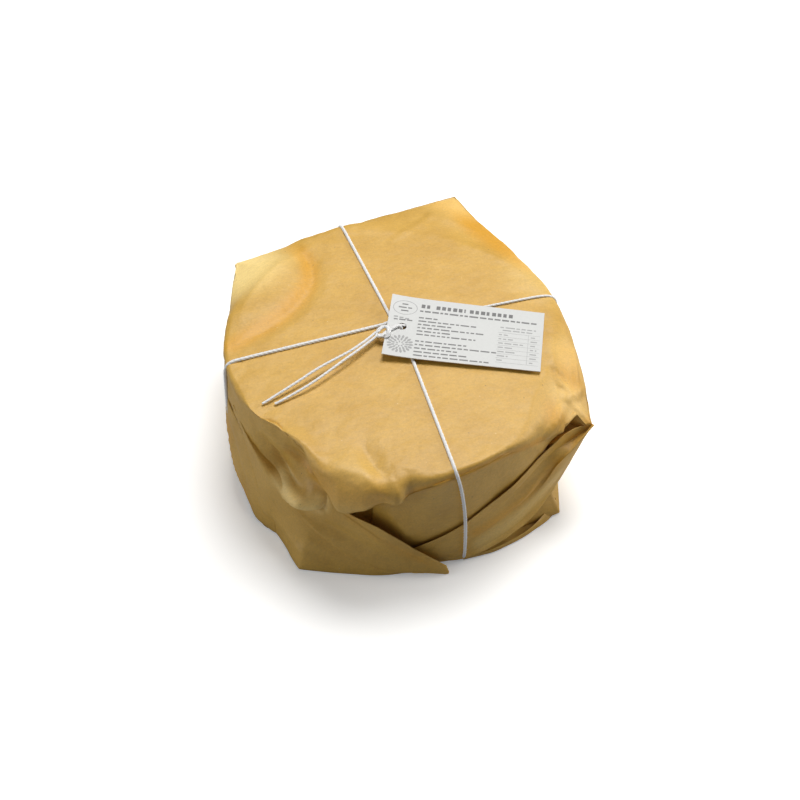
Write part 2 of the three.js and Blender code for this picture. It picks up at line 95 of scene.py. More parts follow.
def eased(known, values, at):
    """A smooth value through a table, which never overshoots its neighbours."""
    known, values = np.asarray(known, float), np.asarray(values, float)
    slope = np.diff(values) / np.diff(known)
    tangent = np.zeros_like(values)
    product = slope[:-1] * slope[1:]
    total = np.where(product > 0, slope[:-1] + slope[1:], 1)
    tangent[1:-1] = np.where(product > 0, 2 * product / total, 0)
    k = np.clip(np.searchsorted(known, at, "right") - 1, 0, len(known) - 2)
    width = known[k + 1] - known[k]
    t = np.clip((at - known[k]) / width, 0, 1)
    ends = values[k] * (1 + 2 * t) * (1 - t) ** 2 + values[k + 1] * t * t * (3 - 2 * t)
    return ends + width * (tangent[k] * t * (1 - t) ** 2 - tangent[k + 1] * t * t * (1 - t))


def eased_round(table, angle, item):
    """The same for a table that starts with an angle and goes right round the wheel."""
    rows = np.array(table, float)
    around = np.concatenate([rows[-3:, 0] - 360, rows[:, 0], rows[:3, 0] + 360])
    values = np.concatenate([rows[-3:, item], rows[:, item], rows[:3, item]])
    return eased(around, values, np.mod(angle, 360))


def smooth_step(low, high, value):
    t = np.clip((value - low) / (high - low), 0, 1)
    return t * t * (3 - 2 * t)


def soft_fall(distance, edge):
    """1 in the middle of a soft form, 0 from its edge on."""
    return 0.5 + 0.5 * np.cos(np.pi * np.minimum(1, np.abs(distance) / edge))


def turn_between(start, end):
    return np.mod(end - start + 180, 360) - 180


def curve_through(points, count):
    """count points, evenly spaced along a smooth curve through the given ones."""
    points = np.asarray(points, float)
    padded = np.vstack([2 * points[0] - points[1], points, 2 * points[-1] - points[-2]])
    fine = []
    for a, b, c, d in zip(padded[:-3], padded[1:-2], padded[2:-1], padded[3:]):
        t = np.linspace(0, 1, 24, endpoint=False)[:, None]
        fine.append(0.5 * (2 * b + (c - a) * t + (2 * a - 5 * b + 4 * c - d) * t ** 2
                           + (3 * b - a - 3 * c + d) * t ** 3))
    fine = np.vstack(fine + [points[-1:]])
    along = np.concatenate([[0], np.cumsum(np.linalg.norm(np.diff(fine, axis=0), axis=1))])
    even = np.linspace(0, along[-1], count)
    return np.stack([np.interp(even, along, fine[:, axis]) for axis in range(3)], axis=-1)


def length_of(points):
    return float(np.linalg.norm(np.diff(points, axis=0), axis=1).sum())


print("one degree at a reach of 100 mm is", round(length_of(places([[0, 100, 0], [1, 100, 0]])), 2), "mm")

# %% Meshes
def make_piece(name, points, faces, smooth=True):
    """Points in millimetres and lists of corners, as an object in metres."""
    mesh = bpy.data.meshes.new(name)
    mesh.from_pydata((np.asarray(points) * MM).tolist(), [], faces)
    mesh.validate()
    piece = bpy.data.objects.new(name, mesh)
    bpy.context.scene.collection.objects.link(piece)
    if smooth:
        mesh.shade_smooth()
    return piece


def grid_faces(rows, columns, closed):
    """Quads between rows of points, each row closed on itself or open."""
    across = np.arange(columns if closed else columns - 1)
    down = np.arange(rows - 1)[:, None]
    a = down * columns + across
    b = down * columns + (across + 1) % columns
    return np.stack([a, b, b + columns, a + columns], axis=-1).reshape(-1, 4)


def grid_normals(grid, closed):
    """Unit normals of a grid of points, outward where its columns run anticlockwise and its rows go up."""
    if closed:
        across = np.roll(grid, -1, axis=1) - np.roll(grid, 1, axis=1)
    else:
        across = np.gradient(grid, axis=1)
    normals = np.cross(across, np.gradient(grid, axis=0))
    size = np.linalg.norm(normals, axis=-1, keepdims=True)
    return normals / np.maximum(size, 1e-9)


print("a grid of 3 by 3 points has", len(grid_faces(3, 3, closed=False)), "faces")


# %% Modifiers, applied at once
def baked(piece):
    """Applies what modifiers a piece has."""
    graph = bpy.context.evaluated_depsgraph_get()
    mesh = bpy.data.meshes.new_from_object(piece.evaluated_get(graph))
    piece.modifiers.clear()
    piece.data = mesh
    return piece


def thickened(piece, thickness):
    """Gives a sheet its thickness, inward from the face that is seen."""
    thick = piece.modifiers.new("thickness", "SOLIDIFY")
    thick.thickness = thickness * MM
    thick.offset = -1
    return baked(piece)


def cut_away(piece, cutter, solver):
    """Cuts one piece with another, which is then removed."""
    cut = piece.modifiers.new("cut", "BOOLEAN")
    cut.operation, cut.object, cut.solver = "DIFFERENCE", cutter, solver
    baked(piece)
    bpy.data.objects.remove(cutter)
    print(piece.name, "after the cut:", len(piece.data.polygons), "faces")


# %% [markdown]
# ## The parcel's form
#
# On the real parcel the paper runs tight round the wheel, and its spare width stands out as four corners. Seen from
# above, each level is the tightest line round a disc and four corner points. So the form is made as rings: a table
# gives the corners at six heights, another gives the height of the brink, where the top sheet turns down, and the
# rings between them are worked out. This keeps the folds in the very places where the CAD has them.

# %% The wheel and its corners
WHEEL_RADIUS = 97.5
WHEEL_HEIGHT = 84
# From the brink to the flat top: [angle, radius of the flat top, how far the paper between bulges]
SHOULDER = [
    [0, 89, 1.6], [20, 89, 1.2], [42, 86, 0], [68, 86, 0], [90, 88, 2], [106, 88, 2], [118, 88, 0], [136, 88, 0],
    [155, 88, 2.6], [200, 88, 3], [222, 88, 2.5], [237, 93, 5], [250, 95, 3.4], [262, 99, 1.6], [285, 98.5, 1.6],
    [300, 95, 2.2], [312, 88, 1.5], [330, 89, 1],
]
FOOT_HEIGHT = 1
FOOT_INSET = 1.5
COLUMNS_PER_SIDE = 138
SIDE_ROWS = 74
SHOULDER_ROWS = 18
TOP_ROWS = 44
UNDER_ROWS = 16

# share of the brink's height: corners at the back right, back left, front left and front right, [angle, reach]
RINGS = {
    0: [[52, 113], [128, 111], [225, 115], [308, 114.5]],
    0.2: [[53, 108], [127.5, 107], [224, 107], [310, 108]],
    0.42: [[54, 106.5], [127, 105], [223, 102.5], [313, 108]],
    0.62: [[54.5, 109], [126.5, 106], [223, 102], [316, 112]],
    0.8: [[55, 117], [126, 110], [224, 99], [317.5, 117]],
    1: [[55.3, 131], [126, 118], [226, 99], [318, 119]],
}
# The brink: [angle, height, inset]
BRINK = [
    [0, 78, -1.5], [15, 78, -2], [32, 77, -2.5], [45, 76, -1.5], [55.3, 79, 0], [75, 79, 0], [100, 78, 0],
    [126, 74, 0], [150, 76, 1], [175, 77, 1.5], [190, 76, 1.5], [202, 81, 2.6], [212, 83, 5.4], [221, 80, 3.6],
    [227.7, 77, -2.3], [232, 70, -7.3], [237.5, 63.5, -14.5], [243.6, 69, -14.9], [249, 72, -12],
    [252.8, 72.5, -13.2], [256.7, 73, -8], [260.7, 77, -8.9], [268.5, 79.5, -7.9], [275.3, 80, -6.8],
    [282, 80, -5.7], [288, 78.5, -5.2], [294.4, 75.5, -4.2], [302.5, 69, -0.4], [311, 66, 0], [318, 61, 0],
    [325, 66, -1.5], [334, 72, -2.5], [345, 76, -2.5],
]
# Under the brink the paper goes on down as a lip, and what is under the lip lies deeper: [angle, lip, depth]
LIP = [
    [0, 0.6, 0], [120, 0.6, 0], [215, 0.6, 0], [228, 1.5, 0.5], [236, 3.5, 4], [243, 3.8, 6], [249, 3, 5],
    [254, 1.2, 3.5], [262, 0.8, 3], [280, 0.8, 3], [300, 0.8, 3], [312, 0.8, 3.5], [318, 0.6, 3], [324, 0.6, 0],
    [345, 0.6, 0],
]
# Soft forms: share of the height and its spread, angle and its spread, depth
SOFT_FORMS = [
    [0.8, 0.2, 220, 13, 9],  # the scoop at the front left
    [0.62, 0.2, 223, 15, -3.5],  # the rolled lobe under it
]
PILLOW = {"centre": (-73, 66), "radius": 44, "flat": 0.55, "height": 2.4}
# Shares of the height: from where the brink's inset sets in, and up to where the recess under it fades in
INSET_FROM, RECESS_FULL_AT = 0.78, 0.3
LIP_SHARES = (0.999, 0.66, 0.33, 0)
HUB_SHARE = 0.02  # the innermost row of the top and of the underside
print(len(RINGS), "levels,", len(BRINK), "places on the brink")


# %% The paper's reach at one level
def ring_corners(share):
    """The four corners at a share of the height, as angles and reaches."""
    known = np.array(list(RINGS.values()), float)
    shares = list(RINGS)
    return np.array([[eased(shares, known[:, corner, item], share) for item in (0, 1)] for corner in range(4)])


def ring_reach(corners, angle):
    """How far paper reaches that is drawn tight round the wheel and four corners."""
    reach = np.full_like(angle, WHEEL_RADIUS)
    for number, (direction, far) in enumerate(corners):
        spread = math.acos(WHEEL_RADIUS / far)
        off = np.radians(np.abs(turn_between(direction, angle)))
        tangent = WHEEL_RADIUS / np.cos(np.maximum(spread - off, 0))
        reach = np.where(off < spread, np.maximum(reach, tangent), reach)
        a = polar(np.array(direction), far, 0)
        b = polar(np.array(corners[(number + 1) % 4][0]), corners[(number + 1) % 4][1], 0)
        along = turn_between(direction, angle)
        within = (along >= 0) & (along <= turn_between(direction, corners[(number + 1) % 4][0]))
        toward = polar(angle, 1, 0)
        slope = toward[:, 0] * (b[1] - a[1]) - toward[:, 1] * (b[0] - a[0])
        chord = (a[0] * b[1] - a[1] * b[0]) / np.where(within, slope, 1)
        reach = np.where(within, np.maximum(reach, chord), reach)
    return reach


def column_angles(corners):
    """Directions of the columns: each corner keeps its own column, so that a fold stays one line."""
    steps = np.arange(COLUMNS_PER_SIDE) / COLUMNS_PER_SIDE
    turns = [np.mod(corners[(i + 1) % 4][0] - corners[i][0], 360) for i in range(4)]
    return np.concatenate([corners[i][0] + turns[i] * steps for i in range(4)])


print("the widest ring reaches", round(float(ring_reach(ring_corners(1), np.arange(360.0)).max())), "mm")


# %% Rings of the side and the shoulder
def side_row(share, lip_share, recess):
    """One ring. lip_share runs from 0 at the brink to 1 at the lip's foot, recess from 0 to 1 under it."""
    corners = ring_corners(share)
    angle = column_angles(corners)
    brink = eased_round(BRINK, angle, 1)
    lip = eased_round(LIP, angle, 1)
    inset = eased_round(BRINK, angle, 2) * smooth_step(INSET_FROM, 1, share)
    reach = ring_reach(corners, angle) - inset
    for form_share, rise, form_angle, spread, depth in SOFT_FORMS:
        level = soft_fall(share - form_share, rise)
        reach -= depth * level * soft_fall(turn_between(form_angle, angle), spread)
    fade = smooth_step(0, RECESS_FULL_AT, share)
    reach -= recess * fade * eased_round(LIP, angle, 2)
    height = np.where(lip_share < 1, brink - lip * lip_share,
                      FOOT_HEIGHT + (brink - lip - FOOT_HEIGHT) * share)
    return polar(angle, reach, height)


def pillow_height(points):
    """The puffed paper that stands a little above the top sheet by the back left corner."""
    away = np.hypot(points[..., 0] - PILLOW["centre"][0], points[..., 1] - PILLOW["centre"][1])
    return PILLOW["height"] * smooth_step(PILLOW["radius"], PILLOW["flat"] * PILLOW["radius"], away)


def shoulder_row(brink, t):
    """Between the brink and the flat top's rim, rounded out over the cheese's edge."""
    flat = np.hypot(brink[:, 0], brink[:, 1])[:, None]
    angle = np.degrees(np.arctan2(brink[:, 1], brink[:, 0]))
    rim = brink * eased_round(SHOULDER, angle, 1)[:, None] / flat
    rim[:, 2] = WHEEL_HEIGHT
    bulge = eased_round(SHOULDER, angle, 2) * math.sin(math.pi * t)
    out = brink * bulge[:, None] / flat
    out[:, 2] = bulge
    row = brink * (1 - t) + rim * t + out
    row[:, 2] = np.minimum(row[:, 2], WHEEL_HEIGHT) + pillow_height(row) * t
    return row


print("a ring has", len(side_row(0.5, 1, 1)), "points")


# %% The parcel's grid of points
def parcel_grid():
    shares = np.linspace(0, 1, SIDE_ROWS)
    side = [side_row(share, 1, 1) for share in shares]
    lip_foot = side_row(1, 1, 0)
    lip = [side_row(1, share, 0) for share in LIP_SHARES]
    foot = side[0].copy()
    reach = np.hypot(foot[:, 0], foot[:, 1])[:, None]
    foot *= (reach - FOOT_INSET) / reach
    foot[:, 2] = 0
    under = [foot * share for share in np.linspace(HUB_SHARE, 1, UNDER_ROWS)]
    shoulder = [shoulder_row(lip[-1], t) for t in np.linspace(0, 1, SHOULDER_ROWS + 1)[1:]]
    top = [shoulder[-1] * share for share in np.linspace(1, HUB_SHARE, TOP_ROWS)[1:]]
    for row in top:
        row[:, 2] = WHEEL_HEIGHT + pillow_height(row)
    return np.stack(under + side + [lip_foot] + lip + shoulder + top)


parcel = parcel_grid()
print("parcel grid", parcel.shape)

# %% [markdown]
# ## Creases and crumples
#
# Handled paper keeps every dent: sharp ridges and valleys run over it, and between them lie small flat facets. The
# long ones are drawn as lines on the surface, where the photograph shows them. Each lifts or sinks the paper
# beside it, by its own width on either side. The small ones come from noise whose cells meet in edges. Both move
# real points, so that the folds also show in the outline and in the mesh itself.

# %% One crease
CREASE_POINTS = 20
CREASE_SHARPNESS = 1.3
END_SOFTNESS, END_SHARE, START_SHARE = 0.6, 0.02, 0.3


def near_line(points, line):
    """For each point: the distance to a line, the share along it, and the vector to the point."""
    best = np.full(len(points), np.inf)
    share = np.zeros(len(points))
    offset = np.zeros_like(points)
    heading = np.zeros_like(points)
    steps = np.linalg.norm(np.diff(line, axis=0), axis=1)
    starts = np.concatenate([[0], np.cumsum(steps)])
    for number, (a, b) in enumerate(zip(line[:-1], line[1:])):
        run = b - a
        t = np.clip((points - a) @ run / (run @ run), 0, 1)
        away = points - (a + t[:, None] * run)
        distance = np.linalg.norm(away, axis=1)
        closer = distance < best
        best = np.where(closer, distance, best)
        share = np.where(closer, (starts[number] + t * steps[number]) / starts[-1], share)
        offset[closer] = away[closer]
        heading[closer] = run / steps[number]
    return best, share, offset, heading


def crease(points, normals, line, rise, left, right, fades="both"):
    """How far a crease moves each point along its normal.

    It is sharp on the line and fades over left and right mm, and along the line at both ends or at the start.
    """
    reach = max(left, right)
    near = np.flatnonzero(np.abs(points - line.mean(axis=0)).max(axis=1)
                          < reach + np.abs(line - line.mean(axis=0)).max())
    move = np.zeros(len(points))
    distance, share, offset, heading = near_line(points[near], line)
    side = np.einsum("ij,ij->i", np.cross(heading, offset), normals[near])
    width = np.where(side > 0, left, right)
    profile = np.maximum(0, 1 - distance / width)
    ends = {"both": np.sin(np.pi * np.clip(share, END_SHARE, 1 - END_SHARE)) ** END_SOFTNESS,
            "start": np.minimum(1, share / START_SHARE)}[fades]
    move[near] = rise * ends * profile ** CREASE_SHARPNESS
    return move


def add_creases(move, points, normals, creases):
    """Adds to move what a table of creases moves each point by."""
    for rise, left, right, table, *fades in creases:
        line = curve_through(places(table), CREASE_POINTS)
        move += crease(points, normals, line, rise, left, right, *fades)


straight, upward = np.array([[0.0, 0, 0], [100, 0, 0]]), np.array([[0, 0, 1.0]])
lifted = crease(np.array([[50.0, 0, 0]]), upward, straight, 1, 5, 5)
print("half way along its line a crease of 1 mm lifts the paper by", round(float(lifted[0]), 2), "mm")

# %% The parcel's creases
# rise, width on the left, width on the right, places, and "start" where it fades at its start alone
PARCEL_CREASES = [
    # the front left corner: a short dark crease, the edge of the scoop, its bowl, two folds in it and its rolled rim
    (-1.3, 2.5, 2.5, [[204.3, 93.7, 84], [205.7, 93.5, 84], [207.9, 92.6, 84], [210.8, 92.9, 84],
                      [213, 92.4, 83.5]]),
    (1.8, 9, 3, [[211, 92.5, 83], [216.6, 92.9, 84], [220.2, 93.5, 84], [224.6, 97, 82.2], [228, 101, 77.7],
                 [230.7, 103.9, 70.3], [232, 105, 66]]),
    (-7, 10, 8, [[202, 96, 71], [206, 96.5, 66], [211, 97, 59], [218.9, 99.5, 54.5], [226, 99, 53]]),
    (2.2, 4, 4, [[214.1, 93.7, 66.6], [217.5, 92.1, 63.4], [221.7, 91.9, 61.8], [227, 94, 57]]),
    (-1.6, 3, 3, [[221, 94.8, 59.5], [225.6, 95.6, 57.2], [229.5, 97, 53]]),
    (4.6, 6, 4, [[206, 97.5, 53], [209, 97.7, 50], [211.8, 98.5, 47.5], [216.7, 100.9, 45.5], [222.3, 104.9, 47],
                 [225, 103.7, 46], [228.4, 101.5, 46.5], [230.5, 98.8, 50]]),
    # the edge of the layer on the left wall, and the facets below it
    (1.3, 12, 1.2, [[184, 97.4, 62.5], [190.7, 97.4, 61.2], [195.4, 97.5, 58.5], [199.4, 97.5, 54.5],
                    [204.1, 97.5, 49.5], [207.6, 97.6, 45.5], [210.5, 98, 41.5], [214.6, 99.1, 39.8]]),
    (1.2, 6, 4, [[181, 97.5, 42], [184, 97.5, 34], [187, 97.5, 26], [191, 98, 14], [194, 98.5, 5]]),
    (-1.1, 7, 4, [[176, 97.5, 46], [180, 97.5, 34], [184, 97.5, 22], [187, 98, 8]]),
    # the front left facets: a long ridge to the pointed fold, and the valley that runs down to its tip
    (2.6, 10, 7, [[227, 100, 79], [232.7, 102.8, 80], [236.7, 101.6, 79.9], [242, 102.7, 79.6], [246.7, 106, 78.5],
                  [251.8, 109.5, 75]]),
    (-2.4, 9, 7, [[240, 80, 84], [242, 86.3, 84], [244.7, 92.3, 83.8], [248, 99.6, 82.6], [250.5, 104.8, 79.8],
                  [252, 108.5, 75.5]]),
    (1.5, 3, 6, [[251, 99, 82], [252.4, 104, 79], [253.4, 107, 75], [253.2, 108.4, 69.5]], "start"),
    (-0.9, 4, 4, [[236.5, 101, 80], [238, 105, 72], [239, 107.5, 64]]),
    # the front right corner: the rim of the wheel shows through, and the paper folds towards its ear
    (2, 8, 1.8, [[333, 86, 84], [330, 89, 84], [321.5, 95.1, 80.5], [320.1, 98.8, 78], [314.7, 101.2, 76.5],
                 [310, 102.7, 75], [304.7, 102.8, 74], [300.7, 102.9, 71.5]]),
    (-1.7, 2.5, 6, [[326, 88.5, 83], [324, 93, 81], [323, 98, 78.5], [318, 101, 76]]),
    (2, 8, 2, [[324, 94, 80], [322, 96.1, 77.9], [320, 98.9, 75.8], [319, 100.2, 74.9], [316, 101.4, 73.7]]),
    (1.9, 5, 2.5, [[316, 101.4, 74.5], [320, 104.8, 72.3], [323, 106.8, 71], [327, 109.6, 68.5]]),
    (1.9, 4, 3, [[339.9, 100.3, 77.4], [329.3, 102.9, 74.9], [322.9, 106.3, 71.8], [320, 111, 68]]),
    (-0.9, 3, 5, [[316, 100.9, 75.5], [314, 101.7, 74.6], [312, 102.5, 73.8]]),
    (1.8, 6, 2.5, [[313, 101.8, 74.5], [309, 102.5, 73], [305, 102.6, 71], [303, 102.8, 69.5]]),
    # the back corners: the arc round the puffed paper at the left, and the line where the right one bends down
    (-1.5, 9, 6, [[111.1, 104.5, 76.8], [111.1, 89.2, 83.8], [112.7, 76, 84], [120.4, 63.9, 84], [130.3, 59.9, 84],
                  [141.2, 59.9, 84.1], [153.5, 65.9, 84], [160.8, 74, 84], [168.8, 88.9, 84]]),
    (1.2, 20, 7, [[64, 111, 81.5], [56.9, 106, 82], [46.2, 104, 81.5], [33.5, 98.5, 81], [25.5, 97.5, 80]]),
    (0.7, 5, 4, [[58, 112, 80.8], [62, 100, 82.5], [66, 90, 84], [72, 80, 84]]),
]
print(len(PARCEL_CREASES), "creases on the parcel")

# %% Crumples from noise
CRUMPLE, CRUMPLE_CELL = 0.36, 21
FINE_SHARE, FINE_CELL = 0.4, CRUMPLE_CELL / 2.4
SEED_SHIFT = (17.3, -9.1, 5.7)
# The flat top is calmer: from its edge to full calm, in millimetres from the axis, and by what share
TOP_EDGE, TOP_CALM_AT, TOP_CALM = 92, 70, 0.75


def crumple(points, cell, seed=0):
    """Facets that meet in fine edges, from -1 to 1."""
    shift = Vector([step * seed for step in SEED_SHIFT])
    values = []
    for point in points:
        near = noise.voronoi(Vector(point) / cell + shift, distance_metric="DISTANCE")[0]
        values.append(near[1] - near[0])
    return 2 * np.minimum(np.array(values), 1) - 1


def dent_parcel(grid):
    """The parcel's grid with its creases and crumples."""
    points = grid.reshape(-1, 3).copy()
    normals = grid_normals(grid, closed=True).reshape(-1, 3)
    move = np.zeros(len(points))
    add_creases(move, points, normals, PARCEL_CREASES)
    from_axis = np.hypot(points[:, 0], points[:, 1])
    flat_top = smooth_step(TOP_EDGE, TOP_CALM_AT, from_axis) * (points[:, 2] > WHEEL_HEIGHT - 3)
    above = smooth_step(2, 8, points[:, 2])
    rough = crumple(points, CRUMPLE_CELL) + FINE_SHARE * crumple(points, FINE_CELL, 1)
    move += CRUMPLE * rough * above * (1 - TOP_CALM * flat_top)
    return (points + normals * move[:, None]).reshape(grid.shape)


smooth_parcel = parcel
parcel = dent_parcel(smooth_parcel)
print("deepest dent or highest ridge", round(float(np.abs(parcel - smooth_parcel).max()), 1), "mm")


# %% Close the skin
def closed_skin(grid):
    """Faces of a grid of closed rows, with a fan at each end."""
    rows, columns = grid.shape[:2]
    points = np.vstack([grid.reshape(-1, 3), grid[0].mean(axis=0), grid[-1].mean(axis=0)])
    faces = grid_faces(rows, columns, closed=True).tolist()
    first, last = rows * columns, rows * columns + 1
    for i in range(columns):
        after = (i + 1) % columns
        faces.append([first, after, i])
        faces.append([last, (rows - 1) * columns + i, (rows - 1) * columns + after])
    return points, faces


wrap = make_piece("kraft_parcel", *closed_skin(parcel))
print("parcel", len(wrap.data.polygons), "faces")

# %% [markdown]
# ## The folded ends
#
# Each end of the parcel is shut with flaps: two come in from the sides, and the top sheet hangs down over them as a
# panel. On the real parcel these are single layers of paper with air behind their edges, and that dark gap under a
# thin lit edge is what tells the eye that it is paper. So each flap is a sheet of its own, ruled between a few
# lines, and gets the thickness of paper. Here a line is a fold, and the faces between two lines are almost flat.

# %% Sheets between lines
PAPER_THICKNESS = 0.35
PAPER_LOWEST = 0.15


def sheet_grid(lines, stations, rows_between, bows):
    """Points between lines of places. bows says how far each face bulges outward in its middle."""
    curves = [curve_through(places(line), stations) for line in lines]
    rows = []
    for upper, lower, bow in zip(curves[:-1], curves[1:], bows):
        for t in np.arange(rows_between) / rows_between:
            row = upper * (1 - t) + lower * t
            out = row * [1, 1, 0] / np.linalg.norm(row[:, :2], axis=1)[:, None]
            rows.append(row + out * bow * 4 * t * (1 - t))
    rows.append(curves[-1])
    return np.stack(rows)


def paper_sheet(name, lines, bows, stations=90, rows_between=10, creases=(), roughness=0.3, seed=2):
    """A single layer of paper, as a closed sheet of its own thickness."""
    grid = sheet_grid(lines, stations, rows_between, bows)
    points = grid.reshape(-1, 3)
    normals = grid_normals(grid, closed=False).reshape(-1, 3)
    outward = np.sign(np.einsum("ij,ij->i", normals, points * [1, 1, 0]).sum())
    normals = normals * outward
    move = roughness * crumple(points, CRUMPLE_CELL, seed)
    add_creases(move, points, normals, creases)
    points = points + normals * move[:, None]
    points[:, 2] = np.maximum(points[:, 2], PAPER_LOWEST)
    faces = grid_faces(*grid.shape[:2], closed=False)
    if outward < 0:
        faces = faces[:, ::-1]
    piece = thickened(make_piece(name, points, faces.tolist()), PAPER_THICKNESS)
    print(name, len(piece.data.polygons), "faces")
    return piece


# %% The front: two side flaps and the hanging panel
RIGHT_FLAP = [
    [[318.1, 118.4, 61], [315, 112.5, 61], [311, 108.7, 61.4], [305.9, 106.5, 60], [301.1, 105.2, 58],
     [291.6, 105, 52], [287.9, 105.1, 50], [279.8, 103.6, 41], [272.1, 103, 31.5], [263, 101.9, 22.5], [255, 100, 13]],
    [[318, 119, 60.5], [314, 112, 54], [306, 106, 52], [292, 103.2, 40], [279, 102.4, 30], [267, 101.6, 19],
     [257, 100.5, 9]],
    [[318, 119.5, 61], [306, 112, 47], [298, 107, 28], [285, 104.8, 17], [272, 103.6, 6], [258, 102.5, 4]],
    [[318, 118.5, 58], [310, 108, 16], [300, 105.5, 10], [288, 104.5, 7.5], [274, 103.4, 3.5], [258, 102, 2]],
]
LEFT_FLAP = [
    [[194, 84, 70], [212, 84, 58], [224, 88, 54], [230, 96.5, 52.5], [238, 101, 46], [248, 103, 38],
     [259, 104.5, 19.5], [267.4, 107.5, 6]],
    [[194, 87, 66], [212, 89, 52], [224, 94, 48], [232, 101.3, 44.8], [248, 104.2, 30], [259, 105.5, 13],
     [268, 110, 2.2]],
    [[186, 97.2, 67], [200, 99.5, 61], [212, 103, 50], [225, 104.3, 31], [238, 105, 14], [250, 107, 5],
     [266, 109.4, 1.2]],
    [[186, 97.6, 30], [203.4, 103.6, 2], [210.4, 103.2, 1.5], [216.9, 107.3, 1], [220.7, 111.3, 0.8],
     [223.9, 114.9, 0.6], [224.8, 115.4, 0.5], [228, 113.4, 0.6], [236, 109.8, 0.7], [249, 107.3, 1],
     [259.5, 105.2, 1.2], [264, 107, 0.8], [268, 109.6, 0.5]],
]


def brink_line(angles, tuck):
    """Places just under the brink, a little further in, where a panel comes out from under the top sheet."""
    angle = np.array(angles, float)
    reach = ring_reach(ring_corners(1), angle) - eased_round(BRINK, angle, 2) - tuck
    return np.stack([angle, reach, eased_round(BRINK, angle, 1) + tuck], axis=-1).tolist()


FRONT_PANEL = [
    [[246, 95, 65], [252, 99, 68], [257, 102, 71], *brink_line([263, 270, 277, 284, 291, 297], 0.15),
     [303, 102.3, 68.5], [310.7, 106, 70], [316.3, 109, 70]],
    [[244, 92, 24], [252, 95.5, 10.5], [256, 97.4, 12], [266, 99.6, 20.5], [277, 101.3, 31], [290, 102.6, 43],
     [301, 103.3, 53.5], [306, 104, 59.5], [310.7, 108, 67], [316.3, 110.5, 67.8]],
]
# Creases on each, as for the parcel
RIGHT_CREASES = [
    (-1.3, 8, 8, [[309, 113, 50], [302, 106, 45], [294.9, 103.3, 38.8], [288.4, 101.6, 34], [278, 100.4, 27]]),
    (-1.9, 7, 4, [[308, 113, 50], [303, 109.5, 42.2], [297.6, 106.5, 31], [289.1, 104.2, 24], [280.2, 103.5, 17],
                  [270, 103.5, 8]]),
    (2.6, 15, 2, [[307, 107, 14], [302.1, 105.8, 10.8], [294.3, 104.9, 8.6], [287.3, 104.4, 7.3],
                  [280.3, 103.9, 5.2], [268, 103.8, 3]]),
]
LEFT_CREASES = [
    (2.2, 9, 1.8, [[206, 100.5, 57], [213.4, 102.1, 49.8], [219.3, 103.4, 41.4], [225.6, 104, 32.5],
                   [232, 104.3, 23.9], [237.8, 104.6, 16.7], [245.6, 106, 9.3], [252, 107, 5]]),
    (-1.5, 6, 6, [[218, 101.8, 45], [225.6, 103.7, 36], [233.8, 103, 31.7], [241.2, 102.9, 25.6], [247.6, 104, 18.3],
                  [254, 105, 12]]),
    (1.6, 3, 5, [[232, 98.5, 48], [237.8, 99, 43.4], [243.4, 99.6, 36.9], [251.5, 102, 23.8], [259.7, 102.9, 11.8],
                 [264, 104, 6]]),
    (2, 7, 4, [[203, 103, 22], [210.4, 105.2, 17], [220.3, 109.4, 14.3], [227.2, 111.3, 10], [231.3, 111.1, 4.9]]),
    (1, 5, 5, [[218, 107, 24], [226, 108.5, 21], [233, 108, 13], [240, 107.6, 6]]),
    (-1.6, 2, 2, [[228, 100.5, 46], [229.7, 100.9, 44.2], [231.4, 101.6, 40.9]]),
]
PANEL_CREASES = [
    (0.35, 1.2, 1.2, [[282.3, 101.7, 72], [282.9, 101.8, 57], [283.3, 101.9, 43]]),
    (0.8, 6, 4, [[298, 102.3, 70], [301, 103, 64], [303, 103.5, 57]]),
    (0.9, 5, 7, [[250, 98, 56], [251.2, 99, 46], [253.8, 100.4, 34], [258, 101, 24]]),
    (-0.7, 9, 9, [[256, 101, 60], [260, 101.5, 48], [266, 101.8, 38], [274, 102, 36]]),
]
right_flap = paper_sheet("flap_front_right", RIGHT_FLAP, [0, 0.4, 0.3], 140, 20, RIGHT_CREASES)
left_flap = paper_sheet("flap_front_left", LEFT_FLAP, [0, 0.5, 0.4], 140, 20, LEFT_CREASES, seed=3)
front_panel = paper_sheet("panel_front", FRONT_PANEL, [0.6], rows_between=24, creases=PANEL_CREASES, seed=4)

# %% [markdown]
# ### The back
#
# The photograph doesn't show the back. It is folded as such parcels are, with two flaps that come in from the
# corners, so the same helper makes them, and they need no creases of their own.

# %% The back's two flaps
BACK_RIGHT_FLAP = [
    [[57, 122, 77], [66, 107, 60], [80, 100, 42], [95, 98.5, 27], [105, 98, 18]],
    [[57, 126, 76], [66, 109, 57], [80, 102, 37], [95, 100.5, 21], [105, 100, 12]],
    [[55, 130.4, 77], [62, 114, 48], [76, 106, 22], [90, 104, 8], [103, 103.5, 4]],
    [[53, 112.4, 20], [62, 109, 2], [76, 106, 0.6], [92, 104, 0.6], [103, 103, 0.6]],
]
BACK_LEFT_FLAP = [
    [[126, 112, 75], [116, 104, 60], [104, 100.5, 40], [93, 101.5, 20], [88, 106, 4]],
    [[125, 115.5, 73.5], [116, 107, 56], [104, 103.2, 36], [93, 104.2, 15], [88, 108.6, 1.8]],
    [[127, 117.5, 74], [120, 109.5, 44], [110, 106.6, 22], [99, 107.6, 8], [89, 109.2, 1.4]],
    [[128, 111.4, 20], [124, 110, 0.6], [112, 107.6, 0.6], [100, 107.6, 0.6], [89, 109.2, 0.6]],
]
back_right_flap = paper_sheet("flap_back_right", BACK_RIGHT_FLAP, [0, 0.4, 0.3], seed=5)
back_left_flap = paper_sheet("flap_back_left", BACK_LEFT_FLAP, [0, 0.4, 0.3], seed=6)

